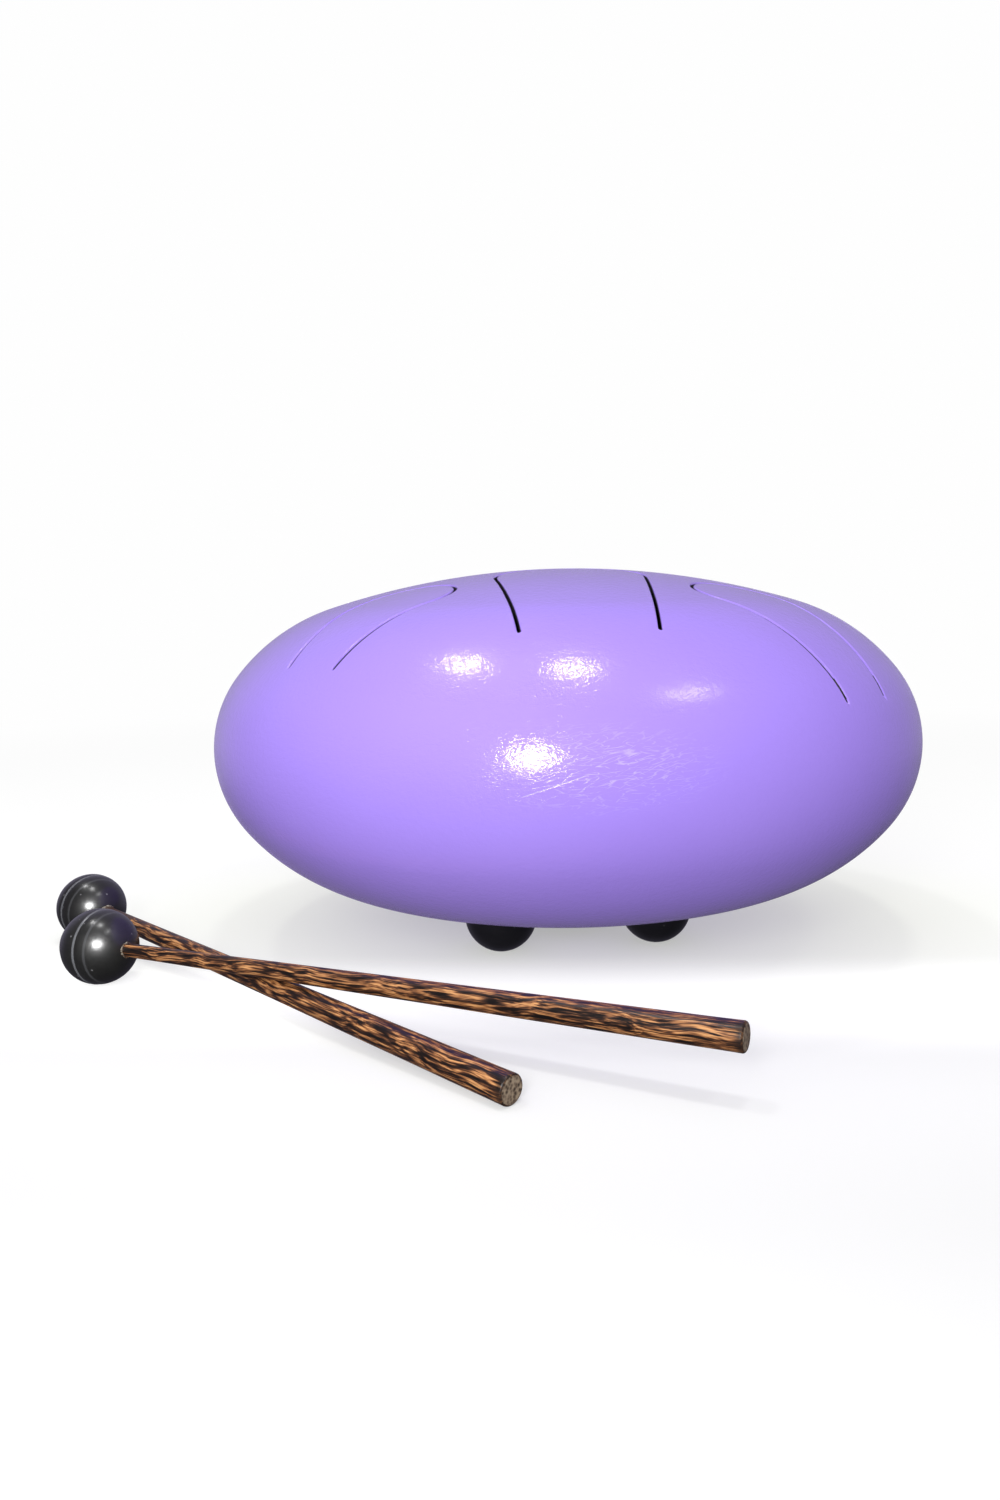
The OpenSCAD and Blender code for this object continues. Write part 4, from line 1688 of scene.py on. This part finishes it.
@dataclass(frozen=True)
class Studio:
    """Pale table, soft light and the camera at the photograph's place."""

    axis: Vector
    camera_out: float = 487.51 * MM
    camera_up: float = 139.103 * MM
    camera_turn: float = 3.247
    camera_tilt: float = -6.957
    camera_roll: float = -1.07
    focal_share: float = 1.1
    backdrop: float = 0.992
    room_light: float = 0.58
    brighter_side: Triple = (-0.12, -0.18, 0.10)
    shaded_share: float = 0.76
    shaded_from: float = -0.98
    mirrored_front: float = 0.12
    mirrored_back: float = 0.92
    mirrored_low: float = 0.30
    low_span: Span = (-0.35, -0.05)
    mirrored_tint: Colour = (0.76, 0.70, 1.0)

    def table(self) -> None:
        """Lays the table top."""
        bpy.ops.object.select_all(action="DESELECT")
        bpy.ops.mesh.primitive_circle_add(vertices=96, radius=14.0, fill_type="NGON")
        top = named("table_top")
        with editing(top, "FACE"):
            bpy.ops.mesh.select_all(action="SELECT")
            bpy.ops.mesh.extrude_region_move(TRANSFORM_OT_translate={"value": (0, 0, -0.02)})
            bpy.ops.mesh.select_all(action="SELECT")
            bpy.ops.mesh.normals_make_consistent(inside=False)
        top.data.materials.append(PaleTable().build(self.axis))
        top.visible_diffuse = False
        top.visible_glossy = False
        top.visible_shadow = False

    def lamps(self) -> None:
        """Hangs the lamps where the drum and the balls mirror them."""
        foot = Vector((self.axis.x, self.axis.y, 0.0))
        lamps = (
            Lamp(
                "front_lamp", foot + Vector((-0.0093, -0.1487, 0.0951)), azimuth=-8.9, elevation=15.7,
                distance=0.46, width=0.112, height=0.155, power=1.40,
            ),
            Lamp(
                "ceiling_lamp_left", foot + Vector((-0.0313, -0.1289, 0.1234)), azimuth=-97.1, elevation=71.3,
                distance=2.0, width=0.26, height=0.19, power=5.0,
            ),
            Lamp(
                "ceiling_lamp_middle", foot + Vector((0.0038, -0.1342, 0.1218)), azimuth=24.0, elevation=84.1,
                distance=2.0, width=0.21, height=0.30, power=5.6,
            ),
            Lamp(
                "ceiling_lamp_right", foot + Vector((0.0403, -0.1352, 0.1136)), azimuth=62.0, elevation=56.7,
                distance=2.2, width=0.54, height=0.32, power=3.3,
            ),
            Lamp(
                "soft_key", foot + Vector((0.0, 0.0, 0.08)), azimuth=-18.0, elevation=30.0,
                distance=1.4, width=1.6, height=1.0, power=2.55, mirrored=False,
            ),
            Lamp(
                "ball_lamp", foot + Vector((-0.1900, -0.0550, 0.0146)), azimuth=16.0, elevation=21.0,
                distance=0.50, width=0.22, height=0.16, power=2.8,
                only=("upper_rubber_ball", "lower_rubber_ball"),
            ),
        )
        for lamp in lamps:
            lamp.build()

    def room(self) -> None:
        """Fills the room with plain light, white where the camera sees past the table."""
        graph = Graph("white_room", for_world=True)
        bpy.context.scene.world = graph.owner
        way = graph.node("TexCoord", {}).outputs["Generated"]
        _, back, up = graph.node("SeparateXYZ", {0: way}).outputs
        path = graph.node("LightPath", {}).outputs
        facing = graph.vectors("DOT_PRODUCT", way, self.brighter_side).outputs["Value"]
        level = graph.maths("ADD", facing, self.room_light)
        level = graph.maths("MULTIPLY", level, graph.fade(up, self.shaded_from, 0.0, self.shaded_share, 1.0))
        behind = graph.fade(up, *self.low_span, self.mirrored_low, self.mirrored_back)
        mirrored = graph.fade(back, 0.0, 1.0, self.mirrored_front, behind)
        share = graph.node("MapRange", {0: path["Is Glossy Ray"], 3: 1.0, 4: mirrored}).outputs[0]
        tint = graph.blend(path["Is Glossy Ray"], WHITE, self.mirrored_tint)
        lit = graph.node("Background", {"Color": tint, "Strength": graph.maths("MULTIPLY", level, share)})
        seen = graph.node("Background", {"Color": (*WHITE, 1.0), "Strength": self.backdrop})
        both = graph.node("MixShader", {0: path["Is Camera Ray"], 1: lit.outputs[0], 2: seen.outputs[0]})
        graph.node("OutputWorld", {"Surface": both.outputs[0]})

    def camera(self) -> None:
        """Sets the camera up as the photograph was taken."""
        lens = bpy.data.cameras.new("camera")
        lens.sensor_fit = "HORIZONTAL"
        lens.sensor_width = 36.0
        lens.lens = lens.sensor_width * self.focal_share
        lens.clip_start = 0.01
        lens.clip_end = 60.0
        camera = bpy.data.objects.new("camera", lens)
        bpy.context.scene.collection.objects.link(camera)
        turn = Matrix.Rotation(math.radians(self.camera_turn), 4, "Z")
        tilt = Matrix.Rotation(math.radians(90 + self.camera_tilt), 4, "X")
        roll = Matrix.Rotation(math.radians(self.camera_roll), 4, "Z")
        place = Matrix.Translation((self.axis.x, self.axis.y - self.camera_out, self.camera_up))
        camera.matrix_world = place @ turn @ tilt @ roll
        bpy.context.scene.camera = camera

    def build(self) -> None:
        """Sets up the whole studio."""
        self.camera()
        self.table()
        self.lamps()
        self.room()
        view = bpy.context.scene.view_settings
        view.view_transform = "Standard"
        view.look = "None"


def drum_axis() -> tuple[Vector, float]:
    """Finds the drum in the frame.

    Returns:
        Where the drum's axis meets the table, and the height of its widest line.
    """
    low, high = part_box("lower_cap")
    above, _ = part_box("upper_cap")
    return Vector(((low.x + high.x) / 2, (low.y + high.y) / 2, 0.0)), (high.z + above.z) / 2


def foot_places(axis: Vector, equator: float, form: CapForm) -> dict[Corner, Matrix]:
    """Works out where the feet are, each square to the lower cap.

    Args:
        axis: Where the drum's axis meets the table.
        equator: Height of the widest line.
        form: Form of the caps.

    Returns:
        For each corner the place on the cap's outside, with +Z into the drum.
    """
    (_, middle), radius, _, _ = form.arcs()[2]
    circle, first_turn = 47 * MM, -34.0
    tilt = math.asin(circle / radius)
    places = {}
    for corner in Corner:
        turn = math.radians(first_turn + 90 * corner.value - 90)
        place = Matrix.Translation((axis.x, axis.y, equator - middle))
        place = place @ Matrix.Rotation(turn, 4, "Z") @ Matrix.Rotation(-tilt, 4, "Y")
        places[corner] = place @ Matrix.Translation((0, 0, -radius))
    return places


def build_drum(axis: Vector, equator: float) -> None:
    """Models the drum.

    Args:
        axis: Where the drum's axis meets the table.
        equator: Height of the widest line.
    """
    form = CapForm()
    places = foot_places(axis, equator, form)
    body = SteelBody(axis, equator, GlossPaint().build(axis), BareSteel().build(), BurntCut().build(), form)
    stud_hole = 2.25 * MM
    body.build([(place, stud_hole) for place in places.values()])
    rubber = SatinRubber("satin_foot_rubber", rough_high=0.34, dust_share=0.3).build()
    zinc = ZincPlate().build()
    _, crown_radius, _, _ = form.arcs()[2]
    for corner, place in places.items():
        RubberFoot(corner, place, crown_radius, rubber, zinc).build()


def build_mallets(axis: Vector) -> None:
    """Models both mallets.

    Args:
        axis: Where the drum's axis meets the table.
    """
    # Painted highlight lines on the balls: one along the seam, one fainter beside it
    ridges = ((Mallet.seam_at, 0.75 * MM, 0.50), (Mallet.faint_ridge_at, 0.6 * MM, 0.14))
    rubber = SatinRubber(
        "satin_ball_rubber", colour=(0.0040, 0.0041, 0.0032), worn=(0.0080, 0.0082, 0.0068),
        rough_low=0.40, rough_high=0.50, skin=0.55, skin_rough=0.25, gloss=1.5, ridges=ridges,
    ).build()
    glue = DriedGlue().build()
    upper_wood = PalmWood("palm_wood_upper", seed=0.31, stain_end=-0.010, butt_at=Mallet.length).build()
    lower_wood = PalmWood("palm_wood_lower", seed=0.77, stain_end=0.038, butt_at=Mallet.length).build()
    up = Vector((0, 0, Mallet.ball_radius))
    upper_at = axis + up + Vector((-179.988, -81.799, 0.0)) * MM
    lower_at = axis + up + Vector((-208.287, -23.840, 0.0)) * MM
    Mallet(
        "upper", upper_at, heading=-24.6, dip=-1.30276, tip_radius=2.6 * MM, butt_radius=4.6 * MM,
        wood=upper_wood, rubber=rubber, glue=glue,
    ).build()
    Mallet(
        "lower", lower_at, heading=-40.5, dip=2.1972, tip_radius=3.25 * MM, butt_radius=4.9 * MM,
        wood=lower_wood, rubber=rubber, glue=glue,
    ).build()


def main() -> None:
    """Builds the drum, its mallets and the studio, in that order."""
    logging.basicConfig(level=logging.INFO, format="%(relativeCreated)6.0f ms  %(message)s")
    axis, equator = drum_axis()
    LOG.info("drum axis at %s, widest line at %.5f", tuple(round(v, 5) for v in axis), equator)
    build_drum(axis, equator)
    build_mallets(axis)
    Studio(axis).build()


if __name__ == "__main__":
    main()
